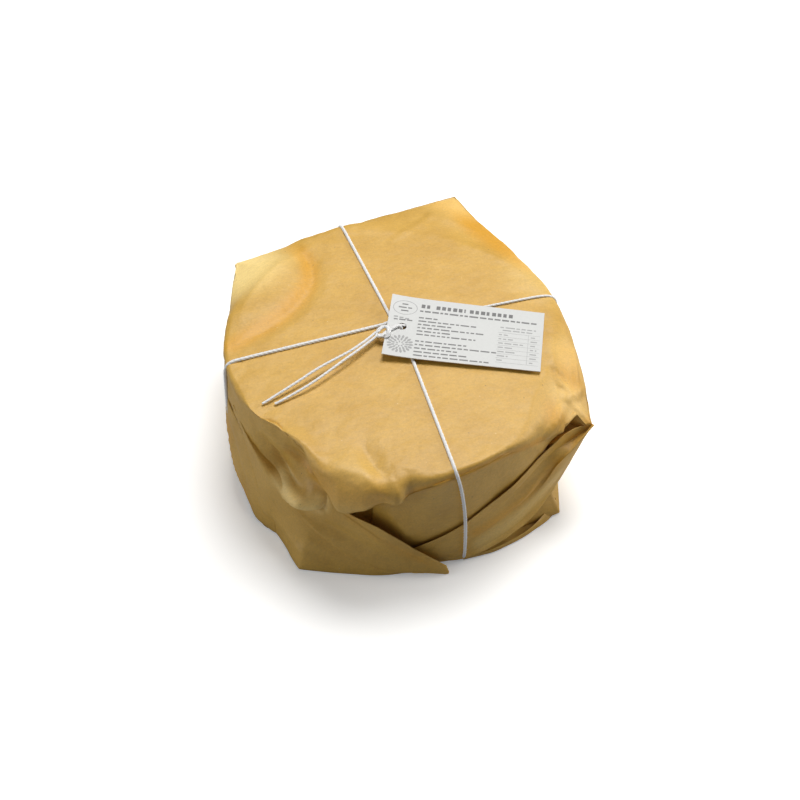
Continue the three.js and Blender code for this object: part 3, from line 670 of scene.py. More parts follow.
# %% [markdown]
# ### Layers near the ground and in the corner
#
# The bottom sheet's edge stands up a little at the front right, as a narrow lip. At the left a loose layer bulges
# over the twine, which goes out of sight there. A third layer lies deep in the open corner, where one looks down on
# it. All three are single sheets like the flaps, each ruled between its own lines.

# %% Three more layers
BOTTOM_LIP = [
    [[310, 109.5, 7.5], [306, 108.6, 5.2], [303.5, 108.8, 4.3], [298.8, 109.2, 4.2], [293.9, 108.6, 3.9],
     [285.1, 107, 3.6], [278, 105.2, 3.2], [273.5, 104.2, 2]],
    [[309, 113, 0.5], [306, 112, 0.3], [303.6, 111.6, 0.2], [299.5, 110.2, 0.2], [294, 108.9, 0.2],
     [285.1, 106.9, 0.2], [279.4, 105, 0.2], [274, 103.6, 0.2]],
    [[309, 101, 0.5], [298, 99, 0.4], [286, 99, 0.4], [274, 99, 0.4]],
]
LEFT_LAYER = [
    [[166, 97.4, 50], [176, 97.8, 58], [185.7, 98, 61.6], [195.4, 98.2, 58], [204.1, 98.4, 50], [210.5, 99.4, 41],
     [216, 101, 36]],
    [[163.5, 98, 32], [170.3, 99.3, 31], [181.3, 100.8, 31], [192.3, 103, 29], [200, 103.6, 24], [206, 103.8, 19],
     [211, 103, 15]],
    [[163, 97.6, 6], [172, 98.2, 5], [184, 99.6, 4], [194, 101.4, 3], [202, 104.4, 2], [208, 104, 1.2],
     [212, 103.2, 1]],
]
LAYER_CREASES = [
    (1.3, 8, 3, [[176, 99.5, 42], [184, 101, 33], [190, 102.5, 22], [195, 102, 10]]),
    (-1.2, 6, 4, [[182, 99.5, 48], [189, 101.5, 40], [195, 103, 30], [200, 104.5, 18]]),
    (1, 5, 3, [[197, 101, 46], [202, 103, 35], [207, 105.5, 22]]),
]
CORNER_LAYER = [  # from inside the flap's upper edge to the parcel
    [[318, 118, 60.2], [315, 112.1, 60], [311, 108.2, 60.2], [307, 106, 59]],
    [[317.4, 108, 54], [314, 104.5, 53], [310.5, 102, 53], [306, 100.5, 53]],
]
bottom_lip = paper_sheet("lip_bottom", BOTTOM_LIP, [0.3, 0], rows_between=6, roughness=0.2, seed=7)
left_layer = paper_sheet("flap_left_low", LEFT_LAYER, [0.4, 0.5], creases=LAYER_CREASES, seed=8)
corner_layer = paper_sheet("layer_corner", CORNER_LAYER, [-0.5], 40, 8, roughness=0.2, seed=9)
paper_pieces = [wrap, right_flap, left_flap, front_panel, back_right_flap, back_left_flap, bottom_lip, left_layer,
                corner_layer]
print(len(paper_pieces), "pieces of paper")

# %% [markdown]
# ## The open corner
#
# Under the roof of the front right corner the layers stand apart, and one looks into the dark between them. The
# parcel's own skin is cut there with a wedge, which the flap and the panel then frame.

# %% Cut the mouth
MOUTH = [  # angle, inner reach, lowest, highest
    [300, 98, 50, 58], [304, 99, 51, 61], [307.2, 101, 52, 62.5], [310.7, 103.5, 54, 68.6], [313.3, 105, 56, 68.4],
    [316.6, 107.5, 58, 68.5],
]
MOUTH_OUTER = 128


def mouth_wedge():
    rows = []
    for angle, inner, low, high in MOUTH:
        corners = [[angle, inner, low], [angle, MOUTH_OUTER, low], [angle, MOUTH_OUTER, high], [angle, inner, high]]
        rows.append(places(corners))
    grid = np.stack(rows)
    faces = grid_faces(len(rows), 4, closed=True).tolist()
    faces += [[3, 2, 1, 0], [len(rows) * 4 - 4 + i for i in range(4)]]
    wedge = make_piece("mouth_cut", grid.reshape(-1, 3), faces, smooth=False)
    bm = bmesh.new()
    bm.from_mesh(wedge.data)
    bmesh.ops.recalc_face_normals(bm, faces=bm.faces)
    bm.to_mesh(wedge.data)
    bm.free()
    return wedge


cut_away(wrap, mouth_wedge(), "MANIFOLD")

# %% [markdown]
# ## The card tag
#
# The tag is a stiff card, punched near one end. It lies on the twine at its punched end and droops towards the
# other, and its corners have curled a little. It is built flat, punched with a boolean cut, and only then bent, so
# that the hole stays round and the print can be bent by the same rule.

# %% Bend a flat place onto the card
TAG_LENGTH, TAG_WIDTH, TAG_THICKNESS = 87, 46.6, 0.5
TAG_HOLE_DIAMETER, TAG_HOLE_INSET = 5.2, 8.4
TAG_CENTRE = (36.1, -15.4)
TAG_TURN = math.radians(-25.3)
TAG_HEIGHT, TAG_DROOP, TAG_TWIST, TAG_CURL = 87.4, 2.5, 0.5, 1.4


def on_card(points):
    """[along, across, above the card's middle] as points on the bent card."""
    along, across, above = np.asarray(points, float).T
    s, t = along / (TAG_LENGTH / 2), across / (TAG_WIDTH / 2)
    droop = TAG_DROOP * (s + 1) / 2 + TAG_TWIST * s * t
    curl = TAG_CURL * t ** 2 * np.maximum(0, -s) ** 4
    return np.stack([
        TAG_CENTRE[0] + along * math.cos(TAG_TURN) - across * math.sin(TAG_TURN),
        TAG_CENTRE[1] + along * math.sin(TAG_TURN) + across * math.cos(TAG_TURN),
        TAG_HEIGHT + TAG_THICKNESS / 2 - droop + curl + above], axis=-1)


print("the card's middle stands", round(float(on_card([(0, 0, 0)])[0, 2]), 1), "mm above the ground")

# %% Card, punched and bent
CARD_COLUMNS, CARD_ROWS = 44, 24
HOLE_SIDES, PUNCH_DEPTH = 48, 4


def flat_card():
    x = np.linspace(-TAG_LENGTH / 2, TAG_LENGTH / 2, CARD_COLUMNS + 1)
    y = np.linspace(-TAG_WIDTH / 2, TAG_WIDTH / 2, CARD_ROWS + 1)
    across, along = np.meshgrid(y, x, indexing="ij")
    grid = np.stack([along, across, 0 * along + TAG_THICKNESS / 2], axis=-1)
    faces = grid_faces(CARD_ROWS + 1, CARD_COLUMNS + 1, closed=False).tolist()
    return thickened(make_piece("card_tag", grid.reshape(-1, 3), faces, smooth=False), TAG_THICKNESS)


card = flat_card()
hole_place = (TAG_HOLE_INSET - TAG_LENGTH / 2, 0, 0)
bpy.ops.mesh.primitive_cylinder_add(vertices=HOLE_SIDES, radius=TAG_HOLE_DIAMETER / 2 * MM, depth=PUNCH_DEPTH * MM,
                                    location=Vector(hole_place) * MM)
cut_away(card, bpy.context.object, "EXACT")
flat = np.array([vertex.co for vertex in card.data.vertices]) / MM
for vertex, place in zip(card.data.vertices, on_card(flat)):
    vertex.co = place * MM

# %% [markdown]
# ### Print on the tag
#
# The real card is printed in grey, with a title, lines of small words and a ruled table. None of it is copied. Plain
# bars of word length, rules, a ring and a rosette of petals stand in its place. They could be an image on the card,
# but thin closed pieces stay sharp at any size, and the card's own rule bends them with it.

# %% Bars, rings and rules
INK_LOW, INK_HIGH = 0.005, 0.03  # underside and upper side of the ink, above the card
BAR_CELL = 6  # a bar has a corner about this often, so that it can bend with the card
WORD_LENGTHS, WORD_GAP, SHORTEST_WORD = (1.4, 5.2), 0.9, 0.8
PETAL_LENGTH, PETAL_WIDTH, PETAL_CORNERS = 1.15, 0.62, 10
ink_random = np.random.default_rng(11)


class Ink:
    """Collects thin closed prisms over flat outlines on the card."""

    def __init__(self):
        self.points, self.faces = [], []

    def outline(self, corners):
        corners = np.asarray(corners, float)
        count, start = len(corners), len(self.points)
        for above in (TAG_THICKNESS / 2 + INK_LOW, TAG_THICKNESS / 2 + INK_HIGH):
            self.points += [(*corner, above) for corner in corners]
        low, high = range(start, start + count), range(start + count, start + 2 * count)
        self.faces += [list(low)[::-1], list(high)]
        for i in range(count):
            after = (i + 1) % count
            self.faces.append([low[i], low[after], high[after], high[i]])

    def bar(self, along, across, length, height):
        steps = max(1, int(length / BAR_CELL))
        x = np.linspace(along, along + length, steps + 1)
        lower = [(value, across - height / 2) for value in x]
        upper = [(value, across + height / 2) for value in x[::-1]]
        self.outline(lower + upper)

    def words(self, along, across, length, height):
        """A line of word-long bars."""
        at = along
        while at < along + length - SHORTEST_WORD:
            word = min(ink_random.uniform(*WORD_LENGTHS), along + length - at)
            self.bar(at, across, word, height)
            at += word + WORD_GAP

    def ring(self, centre, half_length, half_width, line, count=48):
        turns = np.linspace(0, 2 * math.pi, count + 1)
        for a, b in zip(turns[:-1], turns[1:]):
            self.outline([(centre[0] + (half_length + out) * math.cos(turn),
                           centre[1] + (half_width + out) * math.sin(turn))
                          for turn, out in ((a, 0), (a, line), (b, line), (b, 0))])

    def petal(self, centre, turn, size):
        """An oval that points away from the middle of its rosette."""
        corners = []
        for a in np.linspace(0, 2 * math.pi, PETAL_CORNERS, endpoint=False):
            along, across = size * PETAL_LENGTH * math.cos(a), size * PETAL_WIDTH * math.sin(a)
            corners.append((centre[0] + along * math.cos(turn) - across * math.sin(turn),
                            centre[1] + along * math.sin(turn) + across * math.cos(turn)))
        self.outline(corners)

    def piece(self, name):
        print(name, len(self.faces), "faces")
        return make_piece(name, on_card(self.points), self.faces, smooth=False)


# %% Title, lines of words and marks
title_ink, dark_ink, light_ink = Ink(), Ink(), Ink()
# Widths of the title's bars, which stand in a group of 2 and one of 14: [first, last, how many]
TITLE_WIDTHS = [2.1, 1.7, 2.2, 2.2, 1.9, 2.3, 2.1, 0.8, 2.2, 2, 2.4, 1.6, 2.2, 2.1, 1.9, 2.2]
TITLE_GROUPS = [[-26, -22.9, 2], [-17.5, 23.6, 14]]
TITLE_ACROSS, TITLE_HEIGHT = 17.3, 2.8
# [start, place across the card, length, height] of the line under the title, those in the ring and that of the marks
HEAD_LINES = [[-26.5, 13.4, 66, 1.2], [-37, 17.2, 3.4, 0.9], [-38.8, 14.7, 7.6, 0.9], [-37.2, 12.3, 4.2, 0.9],
              [-40.4, 5.2, 10.5, 0.9]]
RING = {"centre": (-35, 14.6), "half_length": 6.6, "half_width": 5, "line": 0.32}
MARKS, MARK_START, MARK_STEP, MARK_SIZE = 3, (-40.6, 7.2), (3.2, -0.5), (2.3, 1.1)
# [first line's place across the card, step, lengths]
PARAGRAPHS = [[8.2, 2.6, [11, 34, 20, 37, 20, 33]], [-10, 2.7, [29, 45, 25, 30, 42]]]
TEXT_START, TEXT_HEIGHT = -26.5, 0.95

title_places = [at for group in TITLE_GROUPS for at in np.linspace(*group)]
for at, width in zip(title_places, TITLE_WIDTHS):
    title_ink.bar(at, TITLE_ACROSS, width, TITLE_HEIGHT)
for line in HEAD_LINES:
    dark_ink.words(*line)
light_ink.ring(**RING)
for mark in range(MARKS):
    light_ink.bar(MARK_START[0] + MARK_STEP[0] * mark, MARK_START[1] + MARK_STEP[1] * mark, *MARK_SIZE)
for first, step, lengths in PARAGRAPHS:
    for number, length in enumerate(lengths):
        dark_ink.words(TEXT_START, first - step * number, length, TEXT_HEIGHT)
print(len(title_places), "bars in the title")

# %% Ruled table and rosette
TABLE_LEFT, TABLE_SPLIT, TABLE_RIGHT, TABLE_TOP, TABLE_ROW = 18.5, 35.5, 42, 3.6, 3.3
TABLE_HEADS = [[19.5, 7.8, 20, 0.8], [21, 5.6, 17, 0.8]]
TABLE_WORDS = [5, 8, 14, 8, 10, 6, 3]
TABLE_NUMBER, TABLE_TEXT_HEIGHT, RULE = 3.6, 0.8, 0.16
ROSETTE, ROSETTE_FLATNESS = (-34.6, -13.6), 0.93
ROSETTE_RINGS = [[6.1, 1.15, 18], [4, 0.95, 13], [1.9, 0.7, 7]]  # radius, size of a petal, how many

for line in TABLE_HEADS:
    light_ink.words(*line)
for row in range(len(TABLE_WORDS) + 1):
    across = TABLE_TOP - TABLE_ROW * row
    light_ink.bar(TABLE_LEFT, across, TABLE_RIGHT - TABLE_LEFT, RULE)
    if row < len(TABLE_WORDS):
        light_ink.words(TABLE_LEFT + 0.6, across - TABLE_ROW / 2, TABLE_WORDS[row], TABLE_TEXT_HEIGHT)
        light_ink.words(TABLE_SPLIT + 1.4, across - TABLE_ROW / 2, TABLE_NUMBER, TABLE_TEXT_HEIGHT)
light_ink.bar(TABLE_SPLIT, TABLE_TOP - TABLE_ROW * (len(TABLE_WORDS) / 2), RULE, TABLE_ROW * len(TABLE_WORDS))
for radius, petal, count in ROSETTE_RINGS:
    for number in range(count):
        turn = 2 * math.pi * number / count
        centre = (ROSETTE[0] + radius * math.cos(turn), ROSETTE[1] + ROSETTE_FLATNESS * radius * math.sin(turn))
        light_ink.petal(centre, turn, petal)
tag_print_title = title_ink.piece("tag_print_title")
tag_print_dark = dark_ink.piece("tag_print_dark")
tag_print_light = light_ink.piece("tag_print_light")

# %% [markdown]
# ## Twine
#
# The two taut loops first need their routes. Twine that is drawn tight round a parcel follows the outer hull of its
# section, so each arm is the hull of a cut through the paper, as far out as the twine's own radius. A route drawn by
# hand would cut into the paper or float over it wherever the paper is changed later.

# %% The outer hull of a section
TWINE_DIAMETER = 2
TWINE_SINK = 0.35
TWINE_LOWEST = 0.05
CROSSING = np.array([3.0, 6.0])
# direction, how far it starts beside the crossing, how far it strays sideways on its way down, its width
ARMS = {"back": (92.8, 1.2, 0, 1.9), "front": (267.3, 1.2, 7.9, 1.9), "left": (180.9, -1.1, 4, 2.1),
        "right": (357.8, -1.4, 0, 1.6)}
DRIFT_POWER = 2.6
ARM_STEP, ARM_SMOOTHINGS = 1.5, 3
twine_lies_on = paper_pieces[:6]  # the last three layers take no part: the twine goes under them or past them


def paper_edges():
    """Both ends of every edge of the paper under the twine, in millimetres."""
    ends = []
    for piece in twine_lies_on:
        mesh = piece.data
        places_of = np.empty(len(mesh.vertices) * 3)
        mesh.vertices.foreach_get("co", places_of)
        pairs = np.empty(len(mesh.edges) * 2, int)
        mesh.edges.foreach_get("vertices", pairs)
        ends.append(places_of.reshape(-1, 3)[pairs.reshape(-1, 2)] / MM)
    return np.concatenate(ends)


def section(edges, start, out):
    """Where an upright half plane cuts the paper, as [distance out, height]."""
    across = np.array([-out[1], out[0], 0])
    local = edges - start
    side = local @ across
    cut = (side[:, 0] < 0) != (side[:, 1] < 0)
    t = (side[cut, 0] / (side[cut, 0] - side[cut, 1]))[:, None]
    where = local[cut, 0] * (1 - t) + local[cut, 1] * t
    points = np.stack([where @ out, where[:, 2]], axis=-1)
    return points[points[:, 0] > 0]


def taut_line(points):
    """The outer hull of a section, from the top of the crossing to the one underneath."""
    middle = WHEEL_HEIGHT / 2
    rows = sorted([*map(tuple, points), (0, WHEEL_HEIGHT), (0, 0)],
                  key=lambda p: (-p[1], p[0] if p[1] > middle else -p[0]))
    line = []
    for point in rows:
        while len(line) > 1:
            a, b = line[-2], line[-1]
            if (b[0] - a[0]) * (point[1] - a[1]) - (b[1] - a[1]) * (point[0] - a[0]) < 0:
                break
            line.pop()
        line.append(point)
    return np.array(line)


edges = paper_edges()
print(len(edges), "edges of paper under the twine")


# %% Routes of the taut arms
def arm_route(edges, direction, shift, drift, width):
    """The middle of one arm, and its width in a fourth column."""
    toward, aside = polar(np.array([direction, direction + 90]), 1, 0)
    start = np.array([*CROSSING, 0]) + aside * shift
    line = curve_steps(taut_line(section(edges, start, toward)), ARM_STEP)
    for _ in range(ARM_SMOOTHINGS):
        line[1:-1] = (line[:-2] + 2 * line[1:-1] + line[2:]) / 4
    tangent = np.gradient(line, axis=0)
    tangent /= np.linalg.norm(tangent, axis=1)[:, None]
    lift = TWINE_DIAMETER / 2 - TWINE_SINK
    out = line[:, 0] - tangent[:, 1] * lift
    height = np.maximum(line[:, 1] + tangent[:, 0] * lift, TWINE_DIAMETER / 2 + TWINE_LOWEST)
    stray = drift * np.maximum(0, 1 - (height / WHEEL_HEIGHT) ** DRIFT_POWER) * np.maximum(0, out / out.max())
    places_of = start + out[:, None] * toward + stray[:, None] * aside + height[:, None] * [0, 0, 1]
    return np.column_stack([places_of, np.full(len(line), width)])


def curve_steps(line, step):
    """Evenly spaced points along a line with corners."""
    along = np.concatenate([[0], np.cumsum(np.linalg.norm(np.diff(line, axis=0), axis=1))])
    even = np.linspace(0, along[-1], int(along[-1] / step) + 1)
    return np.stack([np.interp(even, along, line[:, axis]) for axis in range(line.shape[1])], axis=-1)


arms = {name: arm_route(edges, *arm) for name, arm in ARMS.items()}
print("arms", {name: round(length_of(route[:, :3])) for name, route in arms.items()}, "mm")

# %% Two closed loops, one over the other where they cross
HUMP_HEIGHT, HUMP_REACH = 1.5, 9
LOOP_SMOOTHINGS = 4


def loop_route(first, second, over):
    """Two arms as one closed loop. The upper loop rises over the crossing, and the other does so underneath."""
    loop = np.vstack([first[::-1], second])
    for _ in range(LOOP_SMOOTHINGS):
        loop = (np.roll(loop, 1, axis=0) + 2 * loop + np.roll(loop, -1, axis=0)) / 4
    hump = HUMP_HEIGHT * soft_fall(np.hypot(*(loop[:, :2] - CROSSING).T), HUMP_REACH)
    on_top = loop[:, 2] > WHEEL_HEIGHT / 2
    loop[:, 2] += np.where(on_top == over, hump, 0)
    return loop


front_back_loop = loop_route(arms["front"], arms["back"], over=False)
left_right_loop = loop_route(arms["left"], arms["right"], over=True)
print("loops", [round(length_of(loop)) for loop in (front_back_loop[:, :3], left_right_loop[:, :3])], "mm")

# %% [markdown]
# ### Knot and tails
#
# Two strands come up through the hole in the card, go side by side round a single knot and end as two loose tails.
# A knot could be simulated, but this one is drawn as one route, because both strands then lie side by side
# as they do on the real parcel, and the tails go on from it in the very places where the CAD has them.

# %% Knot, strands and tails
TAIL_DIAMETER = 1.5
TAIL_ROUTES = {
    "twine_tail_a": [
        [-11.7, -1.5, 88.6], [-13.7, -2.8, 88.6], [-16.3, -4.4, 88.6], [-19.2, -6.1, 88.7],
        [-23.6, -8.4, 88.8], [-28.3, -10.6, 88.8], [-34.3, -12.8, 88.8], [-40.6, -14.8, 88.7],
        [-46.9, -16.9, 88.5], [-53.5, -19.4, 88.2], [-59.8, -22, 87.7], [-66.2, -24.4, 87.1],
        [-71.2, -26.2, 86.6], [-75.5, -27.6, 86], [-79.9, -29.1, 85.4], [-83.5, -30.2, 85],
    ],
    "twine_tail_b": [
        [-11.6, -3.9, 88.2], [-14, -5.3, 88.2], [-16.9, -6.9, 88.2], [-20.2, -8.8, 88.3], [-25.4, -11.7, 88.4],
        [-32, -15.1, 88.5], [-38.8, -18.6, 88.4], [-45.6, -22, 88.1], [-52.2, -25, 87.7], [-58.5, -27.4, 87.1],
        [-64.3, -29.2, 86.5], [-68.4, -30.4, 86.1], [-72, -31.3, 85.6], [-74.7, -31.9, 85.2],
        [-77.1, -32.3, 84.9],
    ],
}
# Each strand comes up through the hole its own way, and both run side by side round the knot.
STRAND_STARTS = [
    [[3, 6, 85.2], [7.2, 4.2, 85.4], [7.6, 0.8, 86], [5.6, 0.2, 87.2], [3.6, 0.1, 88.5]],
    [[3, 6, 85.2], [1.4, 1.5, 85.1], [2.4, -1.9, 85.6], [3.9, -1.6, 86.9], [3.2, -0.9, 88.4]],
]
KNOT_ROUTE = [
    [1.6, -0.4, 88.75], [-0.9, -0.9, 88.7], [-3.5, -1.8, 88.6], [-5.6, -3.2, 88.9], [-7.7, -4.9, 89.5],
    [-9.6, -5.5, 89.3], [-10.3, -4.4, 88.3], [-9.3, -3.2, 87.5], [-8.3, -4.6, 87.8], [-7.2, -6.1, 88.5],
    [-6, -6.1, 89.2], [-4.8, -4.9, 90.1], [-4.2, -2.8, 90.4], [-4.4, -0.6, 90.1], [-5.5, 0.5, 89.6],
    [-7, 0.5, 89.5], [-8.7, -0.3, 89.4], [-10, -1.3, 89],
]
STRAND_POINTS = 260
STRAND_SPREAD, STRAND_RISE = 0.45, 0.25
SPREAD_FROM, SPREAD_TO = (0.2, 0.35), (1, 0.9)  # shares of the way over which the strands part and meet
STRAND_CUT = 8  # points left off at the far end, where the tail's own route starts


def knot_strand(number):
    """One strand: up through the hole, over the card's edge, round the knot and on to its tail."""
    side = (1, -1)[number]
    table = list(TAIL_ROUTES.values())[number]
    route = curve_through([*STRAND_STARTS[number], *KNOT_ROUTE, *table[:2]], STRAND_POINTS)
    heading = np.gradient(route, axis=0)
    beside = np.cross([0, 0, 1], heading)
    beside /= np.linalg.norm(beside, axis=1)[:, None]
    share = np.linspace(0, 1, len(route))
    spread = side * STRAND_SPREAD * smooth_step(*SPREAD_FROM, share) * smooth_step(*SPREAD_TO, share)
    route += beside * spread[:, None] + [[0, 0, 1]] * (STRAND_RISE * np.abs(spread) * side)[:, None]
    return route[:-STRAND_CUT]


print("the knot's two strands are", [round(length_of(knot_strand(number))) for number in (0, 1)], "mm long")

# %% [markdown]
# ### Twisted twine
#
# The twine is three plies twisted together, about 2 mm thick. One node tree makes all of it: it takes a curve,
# turns a three-lobed outline along it at a named pitch, and adds short hairs. So every stretch has the same lay,
# which three separate plies, drawn one by one, would not keep in the bends.


# %% Short ways to add nodes
class Wiring:
    """Adds nodes to a tree. A value is a number, a colour, a place or the socket of another node."""

    def __init__(self, tree):
        self.tree = tree

    def put(self, socket, value):
        if isinstance(value, bpy.types.NodeSocket):
            self.tree.links.new(value, socket)
        else:
            socket.default_value = value

    def add(self, kind, inputs=None, **settings):
        """A node with its settings, then its inputs by name or number."""
        node = self.tree.nodes.new(kind)
        for name, value in settings.items():
            setattr(node, name, value)
        for name, value in (inputs or {}).items():
            self.put(node.inputs[name], value)
        return node

    def math(self, operation, *values):
        return self.add("ShaderNodeMath", dict(enumerate(values)), operation=operation).outputs[0]


print("nodes are wired by", [name for name in vars(Wiring) if not name.startswith("_")])

# %% A node tree for twisted twine
PLIES, PLY_PITCH = 3, 8
OUTLINE_POINTS = 18
GROOVE = 0.16
HAIRS_PER_MM2 = 0.35
HAIR_LOWEST = 2.5  # none under the parcel, where they would poke through the ground
HAIR_RADIUS = 0.022
HAIR_LEAN = 0.5
HAIR_BEND = {"Start": (0, 0, -0.1), "Start Handle": (0.1, 0, 0.3), "End Handle": (0.5, 0.1, 0.5),
             "End": (1.1, 0.3, 0.45)}


def twine_outline(wiring, given):
    """A circle whose radius rises and falls once for each ply."""
    circle = wiring.add("GeometryNodeCurvePrimitiveCircle", {
        "Resolution": OUTLINE_POINTS, "Radius": wiring.math("MULTIPLY", given["Diameter"], 0.5)})
    index = wiring.add("GeometryNodeInputIndex").outputs[0]
    turn = wiring.math("MULTIPLY", index, 2 * math.pi / OUTLINE_POINTS)
    waves = wiring.math("MULTIPLY", turn, wiring.math("MULTIPLY", given["Plies"], 0.5))
    lobe = wiring.math("ABSOLUTE", wiring.math("COSINE", waves))
    scale = wiring.math("MULTIPLY_ADD", lobe, GROOVE, 1 - GROOVE)
    place = wiring.add("GeometryNodeInputPosition").outputs[0]
    grown = wiring.add("ShaderNodeVectorMath", {0: place, "Scale": scale}, operation="SCALE")
    shaped = wiring.add("GeometryNodeSetPosition", {
        "Geometry": circle.outputs["Curve"], "Position": grown.outputs[0]})
    return shaped.outputs["Geometry"]


def twine_lay(wiring, given, outline):
    """The outline, drawn along the curve and turned once for each pitch of its length."""
    length = wiring.add("GeometryNodeSplineParameter").outputs["Length"]
    turns = wiring.math("DIVIDE", length, given["Pitch"])
    tilt = wiring.add("GeometryNodeSetCurveTilt", {
        "Curve": given["Curve"], "Tilt": wiring.math("MULTIPLY", turns, 2 * math.pi)})
    width = wiring.add("GeometryNodeInputRadius").outputs[0]
    return wiring.add("GeometryNodeCurveToMesh", {
        "Fill Caps": True, "Curve": tilt.outputs["Curve"], "Scale": width, "Profile Curve": outline}).outputs["Mesh"]


def twine_hairs(wiring, given, surface):
    """Short bent fibres that stand up at random."""
    scatter = wiring.add("GeometryNodeDistributePointsOnFaces", {
        "Mesh": surface, "Density": given["Hair density"], "Seed": given["Seed"]})
    bend = {name: [part * MM for part in place] for name, place in HAIR_BEND.items()}
    hair = wiring.add("GeometryNodeCurvePrimitiveBezierSegment", {"Resolution": 3, **bend})
    thread = wiring.add("GeometryNodeCurvePrimitiveCircle", {"Resolution": 3, "Radius": HAIR_RADIUS * MM})
    hair_mesh = wiring.add("GeometryNodeCurveToMesh", {
        "Fill Caps": True, "Curve": hair.outputs["Curve"], "Profile Curve": thread.outputs["Curve"]})
    spin = wiring.add("FunctionNodeRandomValue", {
        "Min": (0, 0, 0), "Max": (HAIR_LEAN, HAIR_LEAN, 2 * math.pi), "Seed": given["Seed"]},
        data_type="FLOAT_VECTOR")
    to_rotation = wiring.add("FunctionNodeEulerToRotation", {0: spin.outputs["Value"]})
    turned = wiring.add("FunctionNodeRotateRotation", {
        "Rotation": scatter.outputs["Rotation"], "Rotate By": to_rotation.outputs[0]}, rotation_space="LOCAL")
    parted = wiring.add("ShaderNodeSeparateXYZ", {0: wiring.add("GeometryNodeInputPosition").outputs[0]})
    plant = wiring.add("GeometryNodeInstanceOnPoints", {
        "Points": scatter.outputs["Points"], "Instance": hair_mesh.outputs["Mesh"], "Rotation": turned.outputs[0],
        "Selection": wiring.math("GREATER_THAN", parted.outputs["Z"], HAIR_LOWEST * MM)})
    return plant.outputs["Instances"]


def twine_tree():
    """Curve in, twisted twine out."""
    tree = bpy.data.node_groups.new("twisted_twine", "GeometryNodeTree")
    face = tree.interface
    face.new_socket("Curve", in_out="INPUT", socket_type="NodeSocketGeometry")
    sizes = {"Diameter": TWINE_DIAMETER * MM, "Pitch": PLY_PITCH * MM, "Hair density": HAIRS_PER_MM2 / MM ** 2}
    for name, value in sizes.items():
        face.new_socket(name, in_out="INPUT", socket_type="NodeSocketFloat").default_value = value
    for name, value in {"Plies": PLIES, "Seed": 5}.items():
        face.new_socket(name, in_out="INPUT", socket_type="NodeSocketInt").default_value = value
    face.new_socket("Material", in_out="INPUT", socket_type="NodeSocketMaterial")
    face.new_socket("Mesh", in_out="OUTPUT", socket_type="NodeSocketGeometry")
    wiring = Wiring(tree)
    given = wiring.add("NodeGroupInput").outputs
    surface = twine_lay(wiring, given, twine_outline(wiring, given))
    smooth = wiring.add("GeometryNodeSetShadeSmooth", {"Geometry": surface})
    join = wiring.add("GeometryNodeJoinGeometry")
    for part in (twine_hairs(wiring, given, surface), smooth.outputs["Geometry"]):
        wiring.put(join.inputs[0], part)
    real = wiring.add("GeometryNodeRealizeInstances", {0: join.outputs[0]})
    finish = wiring.add("GeometryNodeSetMaterial", {"Geometry": real.outputs[0], "Material": given["Material"]})
    wiring.add("NodeGroupOutput", {"Mesh": finish.outputs[0]})
    return tree


twisted_twine = twine_tree()
twine_material = bpy.data.materials.new("cotton_twine")
socket_of = {item.name: item.identifier for item in twisted_twine.interface.items_tree if item.in_out == "INPUT"}
print("the twine's tree has", len(twisted_twine.nodes), "nodes and the inputs", list(socket_of))

# %% Loops, knot and tails
LOOP_STEP, KNOT_STEP, TAIL_STEP, TAIL_POINTS = 0.6, 0.35, 0.55, 60


def twine_piece(name, routes, diameter, seed, cyclic):
    """Twisted twine along one or more routes, as a plain mesh. A fourth column is the twine's own width."""
    curve = bpy.data.curves.new(name, "CURVE")
    curve.dimensions = "3D"
    curve.twist_mode = "MINIMUM"
    for route in routes:
        count = len(route)
        width = route[:, 3] / diameter if route.shape[1] > 3 else np.ones(count)
        spline = curve.splines.new("POLY")
        spline.points.add(count - 1)
        spline.points.foreach_set("co", np.column_stack([route[:, :3] * MM, np.ones(count)]).ravel())
        spline.points.foreach_set("radius", width)
        spline.use_cyclic_u = cyclic
    piece = bpy.data.objects.new(name, curve)
    bpy.context.scene.collection.objects.link(piece)
    modifier = piece.modifiers.new("twist", "NODES")
    modifier.node_group = twisted_twine
    settings = {"Diameter": diameter * MM, "Seed": seed, "Material": twine_material}
    for socket_name, value in settings.items():
        modifier[socket_of[socket_name]] = value
    graph = bpy.context.evaluated_depsgraph_get()
    mesh = bpy.data.meshes.new_from_object(piece.evaluated_get(graph))
    bpy.data.objects.remove(piece)
    made = bpy.data.objects.new(name, mesh)
    bpy.context.scene.collection.objects.link(made)
    print(name, len(mesh.polygons), "faces")
    return made


loops = twine_piece("twine_loops", [curve_steps(route, LOOP_STEP) for route in (front_back_loop, left_right_loop)],
                    TWINE_DIAMETER, 5, True)
knot = twine_piece("twine_knot", [curve_steps(knot_strand(number), KNOT_STEP) for number in (0, 1)], TAIL_DIAMETER, 6,
                   False)
tails = {}
for seed, (name, table) in enumerate(TAIL_ROUTES.items()):
    route = curve_through(table, TAIL_POINTS)
    tail = twine_piece(name.replace("twine_", "loose_"), [curve_steps(route, TAIL_STEP)], TAIL_DIAMETER, 7 + seed,
                       False)
    tails[name] = (tail, route)
    print(name, "is", round(length_of(route), 1), "mm long")

# %% [markdown]
# ## Paper, twine, card and ink
#
# Kraft paper is matt and mottled: long fibres lie in it in clouds, with a fine grain over them, a few dark specks of
# bark and some pale flecks. Its folds are creased by hand, so the surface also waves a little. All of it is worked
# out from the place on the object, so that it looks the same from every side and doesn't need an image. Light and
# shade are painted into it too: it is paler as painted light where it stands away from the cheese and light comes
# through it, or where light falls full on a facet, and a deeper golden tone is painted shade in folds, recesses and
# the brink's rounding, and painted light where light comes through two layers.

# %% Helpers for materials
def new_material(name):
    material = bpy.data.materials.get(name) or bpy.data.materials.new(name)
    material.use_nodes = True
    tree = material.node_tree
    return material, Nodes(tree), tree.nodes["Principled BSDF"].inputs


